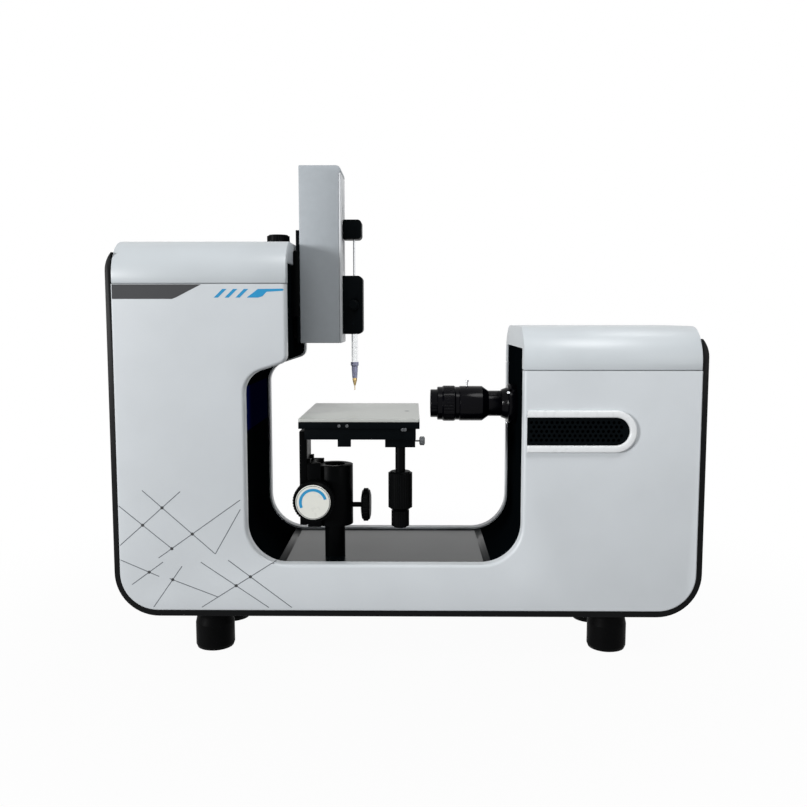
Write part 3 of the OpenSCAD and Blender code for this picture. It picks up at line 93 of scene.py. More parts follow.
class Finish:
    """A procedural surface: slow mottling of colour and gloss over a fine bump."""

    def __init__(self, name, colour, roughness, metallic=0.0, **sockets):
        self.material = bpy.data.materials.new(name)
        self.material.use_nodes = True
        self.nodes = self.material.node_tree.nodes
        self.links = self.material.node_tree.links
        self.shader = self.nodes["Principled BSDF"]
        self.colour = colour
        self.roughness = roughness
        self.shader.inputs["Metallic"].default_value = metallic
        for socket, value in sockets.items():
            self.shader.inputs[socket.replace("_", " ")].default_value = value
        self.place = self.nodes.new("ShaderNodeTexCoord").outputs["Object"]

    def noise(self, size, detail=3.0, stretch=(1, 1, 1)):
        """Noise with lumps of that size in millimetres, drawn out along each axis."""
        squeeze = self.nodes.new("ShaderNodeMapping")
        squeeze.inputs["Scale"].default_value = [1 / s for s in stretch]
        texture = self.nodes.new("ShaderNodeTexNoise")
        texture.inputs["Scale"].default_value = 1 / (size * MM)
        texture.inputs["Detail"].default_value = detail
        self.links.new(self.place, squeeze.inputs["Vector"])
        self.links.new(squeeze.outputs["Vector"], texture.inputs["Vector"])
        return texture.outputs["Fac"]

    def mottle(self, amount=0.05, size=30, gloss=0.12, stretch=(1, 1, 1)):
        """Colour and roughness wander by these shares of their value."""
        source = self.noise(size, 4.0, stretch)
        ramp = self.nodes.new("ShaderNodeValToRGB")
        for element, place, share in zip(ramp.color_ramp.elements, (0.3, 0.7), (-1, 1)):
            element.position = place
            element.color = [min(1, c * (1 + share * amount)) for c in self.colour] + [1]
        spread = self.nodes.new("ShaderNodeMapRange")
        spread.inputs["From Min"].default_value = 0.3
        spread.inputs["From Max"].default_value = 0.7
        spread.inputs["To Min"].default_value = self.roughness * (1 - gloss)
        spread.inputs["To Max"].default_value = min(1, self.roughness * (1 + gloss))
        self.links.new(source, ramp.inputs["Fac"])
        self.links.new(source, spread.inputs["Value"])
        self.links.new(ramp.outputs["Color"], self.shader.inputs["Base Color"])
        self.links.new(spread.outputs["Result"], self.shader.inputs["Roughness"])
        return self

    def grain(self, size, depth, strength=0.5, stretch=(1, 1, 1), detail=2.0):
        """A bump with lumps of that size and depth in millimetres."""
        bump = self.nodes.new("ShaderNodeBump")
        bump.inputs["Strength"].default_value = strength
        bump.inputs["Distance"].default_value = depth * MM
        self.links.new(self.noise(size, detail, stretch), bump.inputs["Height"])
        self.links.new(bump.outputs["Normal"], self.shader.inputs["Normal"])
        return self


def painted(name, colour, roughness, peel=0.02, **sockets):
    """Powder coat: even colour with a faint orange peel."""
    finish = Finish(name, colour, roughness, **sockets)
    return finish.mottle(0.025, 60).grain(1.1, peel, 0.35).material


def moulded(name, colour, roughness, mottling=0.10, **sockets):
    """Moulded plastic or rubber with a fine spark-eroded grain."""
    finish = Finish(name, colour, roughness, **sockets)
    return finish.mottle(mottling, 9, 0.2).grain(0.35, 0.03, 0.5).material


def machined(name, colour, roughness, stretch=(1, 1, 1), **sockets):
    """Metal with fine tool lines, drawn out along the stretched axes."""
    return (
        Finish(name, colour, roughness, metallic=1.0, **sockets)
        .mottle(0.07, 1.2, 0.25, stretch)
        .grain(0.25, 0.01, 0.35, stretch)
        .material
    )


def anodised(name, colour, roughness, mottling=0.08, **sockets):
    """Anodised aluminium: a dyed, finely bead-blasted skin."""
    finish = Finish(name, colour, roughness, **sockets)
    return finish.mottle(mottling, 6, 0.15).grain(0.22, 0.012, 0.4).material


def clear(name, colour, roughness=0.03, ior=1.5):
    """Clear glass or resin with faint drawing lines."""
    finish = Finish(name, colour, roughness, Transmission_Weight=1.0, IOR=ior)
    return finish.mottle(0.02, 12, 0.3).grain(2.5, 0.004, 0.2, (1, 1, 12)).material


def backlit(name, colour, glow, near, far):
    """Dark filter plate that glows towards its front edge, between two depths in millimetres."""
    finish = Finish(name, colour, 0.5, Specular_IOR_Level=0.0)
    depth = finish.nodes.new("ShaderNodeSeparateXYZ")
    fade = finish.nodes.new("ShaderNodeMapRange")
    for socket, value in zip(fade.inputs[1:5], (near * MM, far * MM, glow, glow * 0.1)):
        socket.default_value = value
    finish.links.new(finish.place, depth.inputs["Vector"])
    finish.links.new(depth.outputs["Y"], fade.inputs["Value"])
    finish.links.new(fade.outputs["Result"], finish.shader.inputs["Emission Strength"])
    finish.shader.inputs["Emission Color"].default_value = (0.03, 0.07, 1.0, 1)
    return finish.mottle(0.08, 14).grain(0.6, 0.02, 0.3).material


PANEL = linear(203, 208, 212)
COVER = linear(191, 197, 201)
JET = (0.0014, 0.0023, 0.0029)
FLOOR_GLOSS = 0.11

LOOKS = {
    "shell_black": painted("shell_black", (0.003, 0.0034, 0.0038), 0.36, Specular_IOR_Level=0.08),
    "liner_black": painted("liner_black", JET, 0.6, Specular_IOR_Level=0.0),
    "panel_grey": painted("panel_grey", PANEL, 0.38, Specular_IOR_Level=0.35),
    "cover_grey": painted("cover_grey", COVER, 0.34, Specular_IOR_Level=0.35),
    "bezel_white": moulded("bezel_white", linear(222, 225, 227), 0.3, 0.02),
    "grille_black": moulded("grille_black", JET, 0.5, Specular_IOR_Level=0.02),
    "inner_steel": machined("inner_steel", (0.42, 0.43, 0.45), 0.42, (20, 1, 1)),
    "fastener_steel": machined("fastener_steel", (0.52, 0.53, 0.55), 0.32),
    "foot_rubber": moulded("foot_rubber", (0.0018, 0.0019, 0.002), 0.5, Specular_IOR_Level=0.025),
    "diffuser_blue": backlit("diffuser_blue", (0.0004, 0.0006, 0.002), 0.034, -62, -36),
    "housing_aluminium": machined("housing_aluminium", (0.55, 0.56, 0.58), 0.38, (1, 20, 1)),
    "black_anodised": anodised("black_anodised", (0.0012, 0.0014, 0.0016), 0.38, Specular_IOR_Level=0.02),
    "lens_black": anodised("lens_black", (0.0012, 0.0012, 0.0022), 0.18, Specular_IOR_Level=0.07),
    "lens_glass": clear("lens_glass", (0.75, 0.8, 0.86), 0.01, 1.52),
    "supply_case": machined("supply_case", (0.5, 0.51, 0.53), 0.4, (12, 1, 1)),
    "board_green": moulded("board_green", (0.02, 0.14, 0.06), 0.4),
    "socket_black": moulded("socket_black", (0.006, 0.006, 0.0065), 0.45, Specular_IOR_Level=0.2),
    "rocker_black": moulded("rocker_black", (0.008, 0.008, 0.0085), 0.3, Specular_IOR_Level=0.3),
    "knob_black": moulded("knob_black", (0.0016, 0.0018, 0.002), 0.36, Specular_IOR_Level=0.03),
    "column_grey": anodised("column_grey", linear(158, 164, 169), 0.42, 0.02),
    "column_light": anodised("column_light", linear(198, 201, 204), 0.38, 0.02),
    "clamp_black": anodised("clamp_black", JET, 0.4, Specular_IOR_Level=0.025),
    "syringe_glass": clear("syringe_glass", (0.97, 0.98, 0.99), 0.02),
    "hub_violet": moulded("hub_violet", linear(178, 180, 210), 0.25, Transmission_Weight=0.35),
    "needle_brass": machined("needle_brass", (0.72, 0.52, 0.24), 0.28, (1, 1, 10)),
    "cap_white": moulded("cap_white", linear(222, 223, 216), 0.3, 0.02),
    "table_grey": anodised("table_grey", linear(178, 181, 177), 0.36, 0.03),
    "foam": Finish("foam", (0.002, 0.002, 0.0022), 0.9, Specular_IOR_Level=0.0)
    .mottle(0.3, 2.5).grain(0.9, 0.3, 0.8).material,
    "slide_black": anodised("slide_black", JET, 0.38, Specular_IOR_Level=0.025),
}
# The liner's floor is glossier than its walls, and the start of the bends beside it a little.
LINER_FINISHES = [
    painted(name, JET, 0.22, Specular_IOR_Level=gloss, Specular_Tint=(0.82, 0.97, 1.0, 1))
    for name, gloss in (("liner_bend", FLOOR_GLOSS / 4), ("liner_floor", FLOOR_GLOSS))
]
DARK_STEEL = machined("dark_steel", (0.1, 0.105, 0.11), 0.42)
INK = {
    "grey": painted("ink_grey", linear(66, 67, 69), 0.45, 0.01, Specular_IOR_Level=0.2),
    "blue": painted("ink_blue", linear(30, 138, 188), 0.4, 0.01),
    "line": painted("ink_line", linear(98, 103, 108), 0.5, 0.01),
    "dot": painted("ink_dot", linear(36, 38, 40), 0.5, 0.01),
    # The mark ink also paints the shade inside the table's hole.
    "mark": painted("ink_mark_and_hole_shade", linear(60, 64, 70), 0.45, 0.01),
}


# Making pieces


def place(name, mesh, body, material, slot):
    """A new piece that rides on a body."""
    piece = bpy.data.objects.new(name, mesh)
    bpy.context.scene.collection.objects.link(piece)
    mesh.materials.clear()
    mesh.materials.append(material)
    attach(piece, body)
    return piece


def smooth(mesh, angle=32):
    """Smooth shading that keeps edges sharper than the angle."""
    mesh.polygons.foreach_set("use_smooth", [True] * len(mesh.polygons))
    mesh.set_sharp_from_angle(angle=math.radians(angle))


def to_mesh(name, bm):
    """A smooth-shaded mesh of bm, which is freed."""
    bmesh.ops.recalc_face_normals(bm, faces=bm.faces)
    mesh = bpy.data.meshes.new(name)
    bm.to_mesh(mesh)
    bm.free()
    smooth(mesh)
    return mesh


def turn_of(edge):
    """Angle between an edge's two faces, in degrees."""
    return math.degrees(edge.calc_face_angle(0)) if len(edge.link_faces) == 2 else 0


def regions(bm):
    """Groups of touching faces that lie in one plane."""
    left = set(bm.faces)
    while left:
        seed = left.pop()
        group, queue = [seed], [seed]
        while queue:
            for edge in queue.pop().edges:
                for other in edge.link_faces:
                    if other in left and other.normal.dot(seed.normal) > 0.999999:
                        left.discard(other)
                        group.append(other)
                        queue.append(other)
        yield group


def rims(group):
    """Closed chains of the edges round a group of faces."""
    inside = set(group)
    border = {e for f in group for e in f.edges if sum(o in inside for o in e.link_faces) == 1}
    while border:
        queue = [border.pop()]
        chain = list(queue)
        while queue:
            for vert in queue.pop().verts:
                for edge in vert.link_edges:
                    if edge in border:
                        border.discard(edge)
                        chain.append(edge)
                        queue.append(edge)
        yield chain


def size_of(points):
    """Lowest and highest corner of a set of points."""
    low = Vector([min(p[i] for p in points) for i in range(3)])
    high = Vector([max(p[i] for p in points) for i in range(3)])
    return low, high


def part_at_holes(bm):
    """Splits each flat face that has a hole by a straight seam through the hole's middle."""
    cuts = []
    for group in regions(bm):
        chains = [size_of([v.co for e in chain for v in e.verts]) for chain in rims(group)]
        if len(group) < 4 or len(chains) < 2:
            continue
        chains.sort(key=lambda box: (box[1] - box[0]).length)
        across = chains[-1][1] - chains[-1][0]
        normal = group[0].normal
        axes = [Vector(a) for a in ((1, 0, 0), (0, 1, 0), (0, 0, 1)) if abs(normal.dot(Vector(a))) < 0.5]
        along = max(axes, key=lambda a: abs(across.dot(a)))
        cuts.append((group, [(low + high) / 2 for low, high in chains[:-1]], along))
    for group, middles, along in cuts:
        faces = {f for f in group if f.is_valid}
        for middle in middles:
            edges = {e for f in faces for e in f.edges}
            verts = {v for f in faces for v in f.verts}
            done = bmesh.ops.bisect_plane(
                bm, geom=[*faces, *edges, *verts], dist=1e-7, plane_co=middle, plane_no=along,
            )
            faces = {g for g in done["geom"] if isinstance(g, bmesh.types.BMFace)}
            for g in done["geom_cut"]:
                if isinstance(g, bmesh.types.BMEdge):
                    g.seam = True


def round_edges(bm, edges, radius, segments, clamp=True):
    """Rounds edges by a radius in millimetres."""
    if edges:
        bmesh.ops.bevel(
            bm, geom=edges, offset=radius * MM, segments=segments, profile=0.5,
            affect="EDGES", clamp_overlap=clamp, miter_outer="ARC",
        )


def soften(node, radius, segments=2, sharp=35, also=(), clamp=True):
    """A CAD node's copy with rounded edges, in the node's place.

    also holds (radius, segments, pick) for edges that get another radius, or none at 0: pick
    takes an edge's middle in millimetres.
    """
    bm = bmesh.new()
    bm.from_mesh(frame["nodes"][node].data)
    bmesh.ops.remove_doubles(bm, verts=bm.verts, dist=0.002 * MM)
    part_at_holes(bm)
    bmesh.ops.dissolve_limit(
        bm, angle_limit=math.radians(0.6), verts=bm.verts, edges=bm.edges, delimit={"SEAM"},
    )
    left = [e for e in bm.edges if turn_of(e) > sharp]
    for other_radius, other_segments, pick in also:
        chosen = [e for e in left if e.is_valid and pick((e.verts[0].co + e.verts[1].co) / 2 / MM)]
        left = [e for e in left if e.is_valid and e not in chosen]
        if other_radius:
            round_edges(bm, chosen, other_radius, other_segments)
    round_edges(bm, [e for e in left if e.is_valid and turn_of(e) > sharp], radius, segments, clamp)
    name = node + "_dressed"
    slot = SLOT_OF[node]
    piece = place(name, to_mesh(name, bm), BODY_OF[node], LOOKS[slot], slot)
    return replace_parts(piece, node)


def plate(name, outline, y_face, body, ink, slot, thick=0.12):
    """A thin printed shape on a face that looks along -Y, from its outline in X and Z."""
    bm = bmesh.new()
    back = [bm.verts.new(Vector((x, y_face, z)) * MM) for x, z in outline]
    front = [bm.verts.new(Vector((x, y_face - thick, z)) * MM) for x, z in outline]
    bm.faces.new(front)
    count = len(outline)
    for i in range(count):
        j = (i + 1) % count
        bm.faces.new((back[i], back[j], front[j], front[i]))
    return place(name, to_mesh(name, bm), body, INK[ink], slot)


def lathe(bm, profile, origin, axis, steps=32):
    """Turns a profile of (radius, distance) in millimetres about an axis into bm."""
    to_axis = Vector((0, 0, 1)).rotation_difference(Vector(axis)).to_matrix().to_4x4()
    matrix = Matrix.Translation(Vector(origin) * MM) @ to_axis
    rings = []
    for radius, distance in profile:
        if radius < 1e-6:
            rings.append([bm.verts.new(matrix @ Vector((0, 0, distance * MM)))])
            continue
        rings.append([
            bm.verts.new(matrix @ Vector((
                radius * MM * math.cos(2 * math.pi * i / steps),
                radius * MM * math.sin(2 * math.pi * i / steps),
                distance * MM,
            )))
            for i in range(steps)
        ])
    for low, high in zip(rings, rings[1:]):
        for i in range(steps):
            j = (i + 1) % steps
            corners = dict.fromkeys([
                low[i % len(low)], low[j % len(low)], high[j % len(high)], high[i % len(high)],
            ])
            if len(corners) > 2:
                bm.faces.new(list(corners))


def turned(name, profiles, body, material, slot, steps=32):
    """Pieces of revolution as one object: profiles is a list of (profile, origin, axis)."""
    bm = bmesh.new()
    for profile, origin, axis in profiles:
        lathe(bm, profile, origin, axis, steps)
    return place(name, to_mesh(name, bm), body, material, slot)


def socket_screw(radius, height, key):
    """Profile of a cap screw's head with its round-bottomed key hole."""
    return [
        (radius, -0.2), (radius, height * 0.7), (radius - 0.3 * height, height), (key, height),
        (key * 0.95, height * 0.35), (0, height * 0.3),
    ]


# CAD nodes whose edges are rounded

FACE_Y = span("front_panel")[0].y
BACK_Y = span("rear_panel")[1].y
FOLD_R = 3.4
BAY_X = (-153, 109)
BAY_Z = 93
NEAR = 0.2
SEAM_Z = span("front_panel")[1].z
LOW_SEAM_Z = SEAM_Z - span("left_top_cover")[0].z + span("right_top_cover")[0].z


def bay_edge(y_face):
    """Picks the panel edges that fold into the bay's lip."""
    return lambda p: abs(p.y - y_face) < NEAR and BAY_X[0] < p.x < BAY_X[1] and p.z > BAY_Z


def hidden_edge(p):
    """Picks the panel edges along the covers' seams and under the vent's surround."""
    low, high = span("vent_bezels")
    at_seam = min(abs(p.z - SEAM_Z), abs(p.z - LOW_SEAM_Z)) < NEAR
    under_vent = low.x - NEAR < p.x < high.x and low.z < p.z < high.z
    return at_seam or under_vent


def face_edge(*y_faces):
    """Picks the edges that lie in one of these faces."""
    return lambda p: min(abs(p.y - y) for y in y_faces) < NEAR


for node, y_face in (("front_panel", FACE_Y), ("rear_panel", BACK_Y)):
    soften(node, 0.3, 1, also=[
        (FOLD_R, 4, bay_edge(y_face)), (0, 0, hidden_edge), (1.2, 3, face_edge(y_face)),
    ])
BEZEL_FACES = [corner.y for corner in span("vent_bezels")]
soften("vent_bezels", 0.2, 1, also=[(1.4, 3, face_edge(*BEZEL_FACES))])
ROUNDED = {
    "outer_wrap": 0.6, "bottom_cover": 0.4, "inner_liner": 0.5, "left_top_cover": 1.0,
    "right_top_cover": 1.0, "column_shell": 0.8, "column_face": 0.6,
    "pusher_block": 1.2, "sample_table": 0.4, "x_slide": 0.5, "y_slide": 0.5, "lift_bracket": 0.6,
    "camera_body": 1.0, "camera_stand": 0.4, "backlight_housing": 0.8,
    "power_supply": 0.8, "base_plate": 0.4, "bay_support": 0.4, "power_inlet": 0.4,
    "guide_blocks": 0.4, "lift_arm": 0.5, "column_rails": 0.3,
    "screw_bearings": 0.4, "pump_motor": 0.4, "pump_carriage": 0.4,
    "lens_collar": 0.3, "stage_post": 0.4, "needle_hub": 0.2,
}
for node, radius in ROUNDED.items():
    soften(node, radius)
ROUNDED_FREELY = {
    "barrel_clamp": 0.35, "post_sleeve": 0.35, "lens_barrel": 0.12, "power_rocker": 0.2,
}
for node, radius in ROUNDED_FREELY.items():
    soften(node, radius, clamp=False)

LINER_FLOOR_BELOW = 140
FLAT_UP = 0.999
NEARLY_UP = 0.96


def wear_liner():
    """Sets the liner's glossier paint on its floor, whose flat face is shaded flat."""
    mesh = bpy.data.objects["inner_liner_dressed"].data
    bend, floor_face = 1, 2
    for material in LINER_FINISHES:
        mesh.materials.append(material)
    for face in mesh.polygons:
        flat = face.normal.z > FLAT_UP
        if flat:
            face.use_smooth = False
        if face.center.z < LINER_FLOOR_BELOW * MM and face.normal.z > NEARLY_UP:
            face.material_index = floor_face if flat else bend


wear_liner()
for node, thing in frame["nodes"].items():
    look = DARK_STEEL if node == "stage_lock_screw" else LOOKS[SLOT_OF[node]]
    thing.data.materials.clear()
    thing.data.materials.append(look)
    smooth(thing.data)


# Print on the front panel

LIFT = 0.01  # gap under a print
PRINT_Y = FACE_Y - LIFT
BAR_X = span("front_panel")[0].x + 1.0


def accent_bar():
    """Dark bar under the seam of the left cover, cut off at a slant."""
    top, low = SEAM_Z - 0.45, SEAM_Z - 13.8
    plate("accent_bar", [
        (BAR_X, low), (-217, low), (-213.5, low + 1.3), (-190, top), (BAR_X, top),
    ], PRINT_Y, "frame", "grey", "panel_grey")


def slanted_stripes():
    """A row of slanted blue bars that ends in a flag."""
    low, top = SEAM_Z - 12.6, SEAM_Z - 4.7
    for i in range(3):
        x = -178.4 + i * 10
        plate(f"stripe_{i + 1}", [(x, low), (x + 3.8, low), (x + 12.0, top), (x + 8.0, top)],
              PRINT_Y, "frame", "blue", "panel_grey")
    x = -148
    plate("stripe_flag", [
        (x, low), (x + 10.5, low), (x + 14.5, low + 1.2), (x + 18.5, top - 2.6), (x + 33, top - 1.7),
        (x + 34.5, top - 0.6), (x + 33, top + 0.3), (x + 10.5, top),
    ], PRINT_Y, "frame", "blue", "panel_grey")


LINE_W = 0.8
DOT_R = 1.5
DOT_CORNERS = 16
# Ends of the lines as (x, z)
NET = [
    ((-272.4, 150), (-222, 108)), ((-250, 165), (-182, 104)), ((-272.4, 112), (-214, 164)),
    ((-236, 100), (-157.5, 156)), ((-182, 104), (-157.5, 147)), ((-272.4, 98), (-236, 82)),
    ((-262, 74), (-232, 96)), ((-196, 96), (-132, 52)), ((-170, 98), (-110, 52)),
    ((-196, 52), (-124, 98)), ((-242, 52), (-214, 92)), ((-226, 80), (-180, 62)),
]


def crossing(first, second):
    """Point where two straight lines cross within their lengths, or None."""
    (ax, az), (bx, bz) = first
    (cx, cz), (dx, dz) = second
    turn = (bx - ax) * (dz - cz) - (bz - az) * (dx - cx)
    if abs(turn) < 1e-9:
        return None
    s = ((cx - ax) * (dz - cz) - (cz - az) * (dx - cx)) / turn
    t = ((cx - ax) * (bz - az) - (cz - az) * (bx - ax)) / turn
    if 0.02 < s < 0.98 and 0.02 < t < 0.98:
        return ax + s * (bx - ax), az + s * (bz - az)
    return None


def line_net():
    """A loose net of thin straight lines with a dot at each crossing."""
    for i, ((ax, az), (bx, bz)) in enumerate(NET):
        along = Vector((bx - ax, bz - az)).normalized()
        side = Vector((-along.y, along.x)) * LINE_W / 2
        plate(f"net_line_{i + 1}", [
            (ax + side.x, az + side.y), (ax - side.x, az - side.y),
            (bx - side.x, bz - side.y), (bx + side.x, bz + side.y),
        ], PRINT_Y, "frame", "line", "panel_grey", 0.08)
    dots = [crossing(a, b) for i, a in enumerate(NET) for b in NET[i + 1:]]
    turns = [2 * math.pi * k / DOT_CORNERS for k in range(DOT_CORNERS)]
    for i, (x, z) in enumerate(dot for dot in dots if dot):
        plate(f"net_dot_{i + 1}", [(x + DOT_R * math.cos(t), z + DOT_R * math.sin(t)) for t in turns],
              PRINT_Y, "frame", "dot", "panel_grey", 0.16)


accent_bar()
slanted_stripes()
line_net()


# Small things on the front


def arc_plate(name, centre, r0, r1, start, end, y_face, body, ink, slot, thick=0.12):
    """A printed arc round a centre in X and Z, from one angle to another."""
    steps = max(8, int(abs(end - start) / 6))
    turns = [math.radians(start + (end - start) * i / steps) for i in range(steps + 1)]
    outer = [(centre[0] + r1 * math.cos(t), centre[1] + r1 * math.sin(t)) for t in turns]
    inner = [(centre[0] + r0 * math.cos(t), centre[1] + r0 * math.sin(t)) for t in turns]
    y_top = y_face - thick
    bm = bmesh.new()
    rows = [
        [bm.verts.new(Vector((x, y, z)) * MM) for x, z in side]
        for side, y in ((outer, y_face), (outer, y_top), (inner, y_top), (inner, y_face))
    ]
    for low, high in zip(rows, rows[1:]):
        for i in range(steps):
            bm.faces.new((low[i], low[i + 1], high[i + 1], high[i]))
    for i in (0, steps):
        bm.faces.new([row[i] for row in rows])
    return place(name, to_mesh(name, bm), body, INK[ink], slot)


def disc_print():
    """The arc on the front disc of the focus knob, and a fine ring near its edge."""
    low, high = span("focus_caps")
    centre = ((low.x + high.x) / 2, (low.z + high.z) / 2)
    radius = (high.x - low.x) / 2
    y_face = low.y - LIFT
    arc_plate("focus_arc", centre, radius * 0.64, radius * 0.8, 205, 14, y_face,
              "focus_drive", "blue", "cap_white")
    arc_plate("focus_ring", centre, radius * 0.93, radius * 0.955, 0, 360, y_face,
              "focus_drive", "mark", "cap_white", 0.06)


SLIDE_SCREWS = [(-64.1, 225.9), (-56.6, 225.9)]
LATCH_SCREWS = [(-4.4, 222.4), (-2.2, 222.4)]
TABLE_HOLE = (-0.8, -5.4)
# Profile of a dark disc on the table's top, painted shade for the hole's inside: the hole is not cut.
HOLE_PROFILE = [(2.6, -0.05), (2.6, 0.06), (2.2, 0.08), (1.9, 0.03), (0, 0.03)]


def stage_details():
    """Screws and a latch on the slides' front, and a dark disc painted as the shade inside the table's
    hole.
    """
    front = span("x_slide")[0].y
    for name, head, places in (
        ("slide_screws", socket_screw(1.5, 0.9, 0.75), SLIDE_SCREWS),
        ("slide_latch", socket_screw(1.6, 0.8, 0.6), LATCH_SCREWS),
    ):
        turned(name, [(head, (x, front, z), (0, -1, 0)) for x, z in places],
               "x_stage", DARK_STEEL, "fastener_steel", 24)
    top = span("sample_table")[1].z
    # Painted shade: the table's hole is a dark ink disc, not a cut.
    turned("table_hole_shade", [(HOLE_PROFILE, (*TABLE_HOLE, top), (0, 0, 1))],
           "x_stage", INK["mark"], "table_grey", 40)


disc_print()
stage_details()


COLLAR_ANGLES = (38, 158, 278)
COLLAR_SINK = 0.35


def collar_screws():
    """Three set screws round the lens collar."""
    low, high = span("lens_collar")
    axis = (low.z + high.z) / 2
    seat = (high.z - low.z) / 2 - COLLAR_SINK
    x = low.x + (high.x - low.x) * 0.4
    turned("collar_screws", [
        (socket_screw(1.5, 0.5, 0.8),
         (x, -seat * math.cos(a), axis + seat * math.sin(a)), (0, -math.cos(a), math.sin(a)))
        for a in map(math.radians, COLLAR_ANGLES)
    ], "frame", LOOKS["fastener_steel"], "fastener_steel", 24)


collar_screws()


TICKS = 20
TICK_STEPS = 8
TICK_HALF_W = 0.1
TICK_H = 0.04


def syringe_marks():
    """Graduation ticks on the glass below the clamp, long ones at each fifth."""
    low, high = span("syringe_barrel")
    x, y = (low.x + high.x) / 2, (low.y + high.y) / 2
    radius = (high.x - low.x) / 2
    bottom = span("needle_hub")[1].z + 2
    top = span("barrel_clamp")[0].z - 1
    bm = bmesh.new()
    for i in range(TICKS + 1):
        z = bottom + (top - bottom) * i / TICKS
        half = 50 if i % 5 == 0 else 26
        turns = [
            math.radians(-90 - half + 2 * half * k / TICK_STEPS) for k in range(TICK_STEPS + 1)
        ]
        raised, z0, z1 = radius + TICK_H, z - TICK_HALF_W, z + TICK_HALF_W
        rows = [
            [bm.verts.new(Vector((x + r * math.cos(t), y + r * math.sin(t), h)) * MM) for t in turns]
            for r, h in ((radius, z0), (raised, z0), (raised, z1), (radius, z1))
        ]
        for first, second in zip(rows, rows[1:]):
            for k in range(TICK_STEPS):
                bm.faces.new((first[k], first[k + 1], second[k + 1], second[k]))
    mesh = to_mesh("syringe_marks", bm)
    place("syringe_marks", mesh, "dosing_unit", INK["mark"], "syringe_glass")


syringe_marks()


FOAM_NEAR = 3.2
FOAM_FAR = 7
FOAM_INSET = 1


def vent_filters():
    """Dark foam behind the grilles, front and rear."""
    low, high = span("vent_grilles")
    for side, y0, y1 in (
        ("front", low.y + FOAM_NEAR, low.y + FOAM_FAR), ("rear", high.y - FOAM_FAR, high.y - FOAM_NEAR),
    ):
        name = f"vent_filter_{side}"
        bm = bmesh.new()
        bmesh.ops.create_cube(bm, size=1)
        for v in bm.verts:
            v.co = Vector((
                low.x + FOAM_INSET if v.co.x < 0 else high.x - FOAM_INSET,
                y0 if v.co.y < 0 else y1,
                low.z + FOAM_INSET if v.co.z < 0 else high.z - FOAM_INSET,
            )) * MM
        bmesh.ops.bevel(bm, geom=bm.edges[:], offset=1.2 * MM, segments=3, affect="EDGES")
        place(name, to_mesh(name, bm), "frame", LOOKS["foam"], "grille_black")


vent_filters()

REAR_SCREWS = [
    (-266, 112), (-266, 334), (266, 112), (266, 254), (-140, 56), (-22, 56), (140, 56),
]
PAN_HEAD = [
    (0, -7), (1.9, -7), (1.9, 0), (3.5, 0), (3.5, 0.9), (2.9, 1.6), (1.8, 1.95), (1.1, 2.0),
    (0.9, 0.9), (0, 0.7),
]


def rear_screws():
    """Pan-head screws that hold the rear panel."""
    turned("rear_screws", [(PAN_HEAD, (x, BACK_Y, z), (0, 1, 0)) for x, z in REAR_SCREWS],
           "frame", LOOKS["fastener_steel"], "fastener_steel", 28)


rear_screws()


# Stage and camera


def floor():
    """White floor that shows white to the camera, with a soft shadow near the part."""
    bm = bmesh.new()
    bmesh.ops.create_circle(bm, cap_ends=True, segments=96, radius=6.0)
    piece = bpy.data.objects.new("floor", to_mesh("floor", bm))
    bpy.context.scene.collection.objects.link(piece)
    material = bpy.data.materials.new("floor")
    material.use_nodes = True
    nodes, links = material.node_tree.nodes, material.node_tree.links
    nodes.remove(nodes["Principled BSDF"])
    paper = nodes.new("ShaderNodeBsdfDiffuse")
    paper.inputs["Color"].default_value = (0.3, 0.3, 0.3, 1)
    glow = nodes.new("ShaderNodeEmission")
    glow.inputs["Color"].default_value = (1, 1, 1, 1)
    away = nodes.new("ShaderNodeVectorMath")
    away.operation = "LENGTH"
    links.new(nodes.new("ShaderNodeTexCoord").outputs["Object"], away.inputs[0])
    fade = nodes.new("ShaderNodeMapRange")
    fade.interpolation_type = "SMOOTHSTEP"
    for socket, value in zip(fade.inputs[1:5], (0.15, 0.7, 0.965, 1.0)):
        socket.default_value = value
    links.new(away.outputs["Value"], fade.inputs["Value"])
    part = nodes.new("ShaderNodeMath")
    part.operation = "MULTIPLY"
    links.new(white_rays(nodes, links), part.inputs[0])
    links.new(fade.outputs["Result"], part.inputs[1])
    share = nodes.new("ShaderNodeMixShader")
    links.new(part.outputs["Value"], share.inputs["Fac"])
    links.new(paper.outputs["BSDF"], share.inputs[1])
    links.new(glow.outputs["Emission"], share.inputs[2])
    links.new(share.outputs["Shader"], nodes["Material Output"].inputs["Surface"])
    piece.data.materials.append(material)
    piece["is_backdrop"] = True


def white_rays(nodes, links):
    """1 for rays that see the background: from the camera, in gloss and through glass."""
    path = nodes.new("ShaderNodeLightPath")
    total = path.outputs["Is Camera Ray"]
    for name in ("Is Glossy Ray", "Is Transmission Ray"):
        add = nodes.new("ShaderNodeMath")
        add.operation = "MAXIMUM"
        links.new(total, add.inputs[0])
        links.new(path.outputs[name], add.inputs[1])
        total = add.outputs["Value"]
    return total


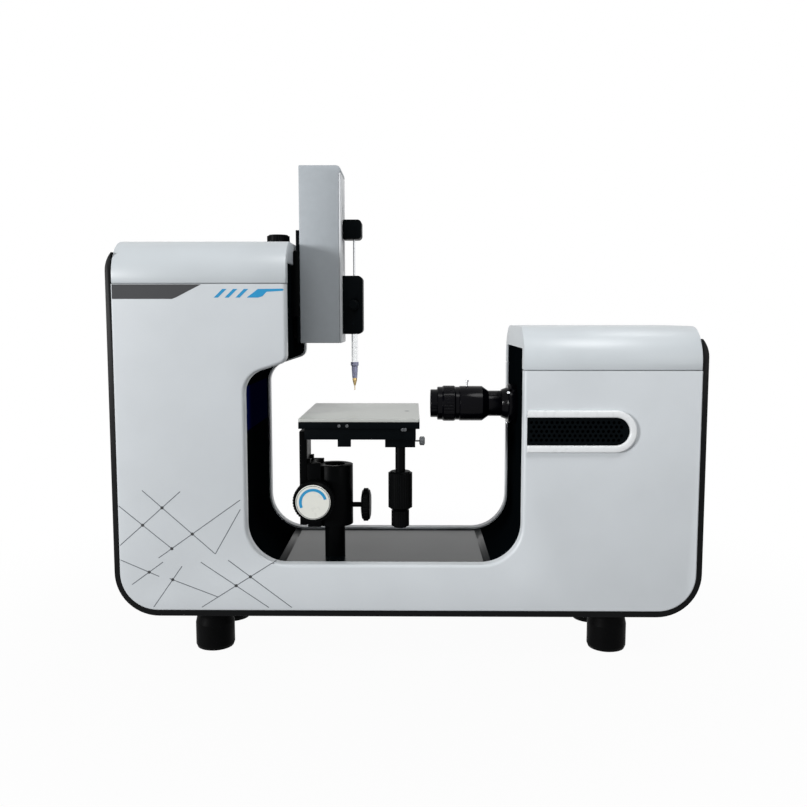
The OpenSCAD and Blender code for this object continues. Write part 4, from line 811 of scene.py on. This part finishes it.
def surroundings(strength):
    """White background, and an even light of that strength."""
    world = bpy.data.worlds.new("studio")
    bpy.context.scene.world = world
    world.use_nodes = True
    nodes, links = world.node_tree.nodes, world.node_tree.links
    ambient = nodes["Background"]
    ambient.inputs["Color"].default_value = (1.0, 1.0, 1.0, 1)
    ambient.inputs["Strength"].default_value = strength
    white = nodes.new("ShaderNodeBackground")
    white.inputs["Color"].default_value = (1, 1, 1, 1)
    white.inputs["Strength"].default_value = 1.0
    mix = nodes.new("ShaderNodeMixShader")
    links.new(white_rays(nodes, links), mix.inputs["Fac"])
    links.new(ambient.outputs["Background"], mix.inputs[1])
    links.new(white.outputs["Background"], mix.inputs[2])
    links.new(mix.outputs["Shader"], nodes["World Output"].inputs["Surface"])


def lamp(name, where, target, size, watts):
    """A round area lamp that looks at a target."""
    data = bpy.data.lights.new(name, "AREA")
    data.shape = "DISK"
    data.size = size
    data.energy = watts
    thing = bpy.data.objects.new(name, data)
    bpy.context.scene.collection.objects.link(thing)
    thing.location = where
    thing.rotation_euler = (Vector(target) - Vector(where)).to_track_quat("-Z", "Y").to_euler()


FOCAL_PX = 879.22
IMAGE_PX = 807
SENSOR_W = 36
CAMERA_AT = (4.63, -893.7, 328.2)
CAMERA_DOWN = 5.66
CAMERA_LEFT = 0.577


def camera():
    """The photograph's camera, worked out from its straight edges and ellipses."""
    data = bpy.data.cameras.new("camera")
    data.sensor_fit = "HORIZONTAL"
    data.sensor_width = SENSOR_W
    data.lens = SENSOR_W * FOCAL_PX / IMAGE_PX
    data.clip_start = 0.01
    thing = bpy.data.objects.new("camera", data)
    bpy.context.scene.collection.objects.link(thing)
    thing.location = Vector(CAMERA_AT) * MM
    thing.rotation_euler = (math.radians(90 - CAMERA_DOWN), 0, math.radians(CAMERA_LEFT))
    bpy.context.scene.camera = thing


floor()
surroundings(0.03)
lamp("key", (-3.2, -2.4, 0.8), (0, 0, 0.27), 0.9, 137)
lamp("fill", (0.9, -1.0, 0.5), (0.25, 0, 0.2), 0.6, 2.6)
lamp("front", (0.3, -0.6, 1.3), (0, 0, 0.25), 0.5, 8.2)
lamp("top", (0.6, 0.2, 1.5), (0.1, 0, 0.25), 0.4, 3.3)
camera()
bpy.context.scene.view_settings.view_transform = "Standard"

boxes = {"cad": cad_box, "visual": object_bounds()}
{name: [list(corner) for corner in box] for name, box in boxes.items()}
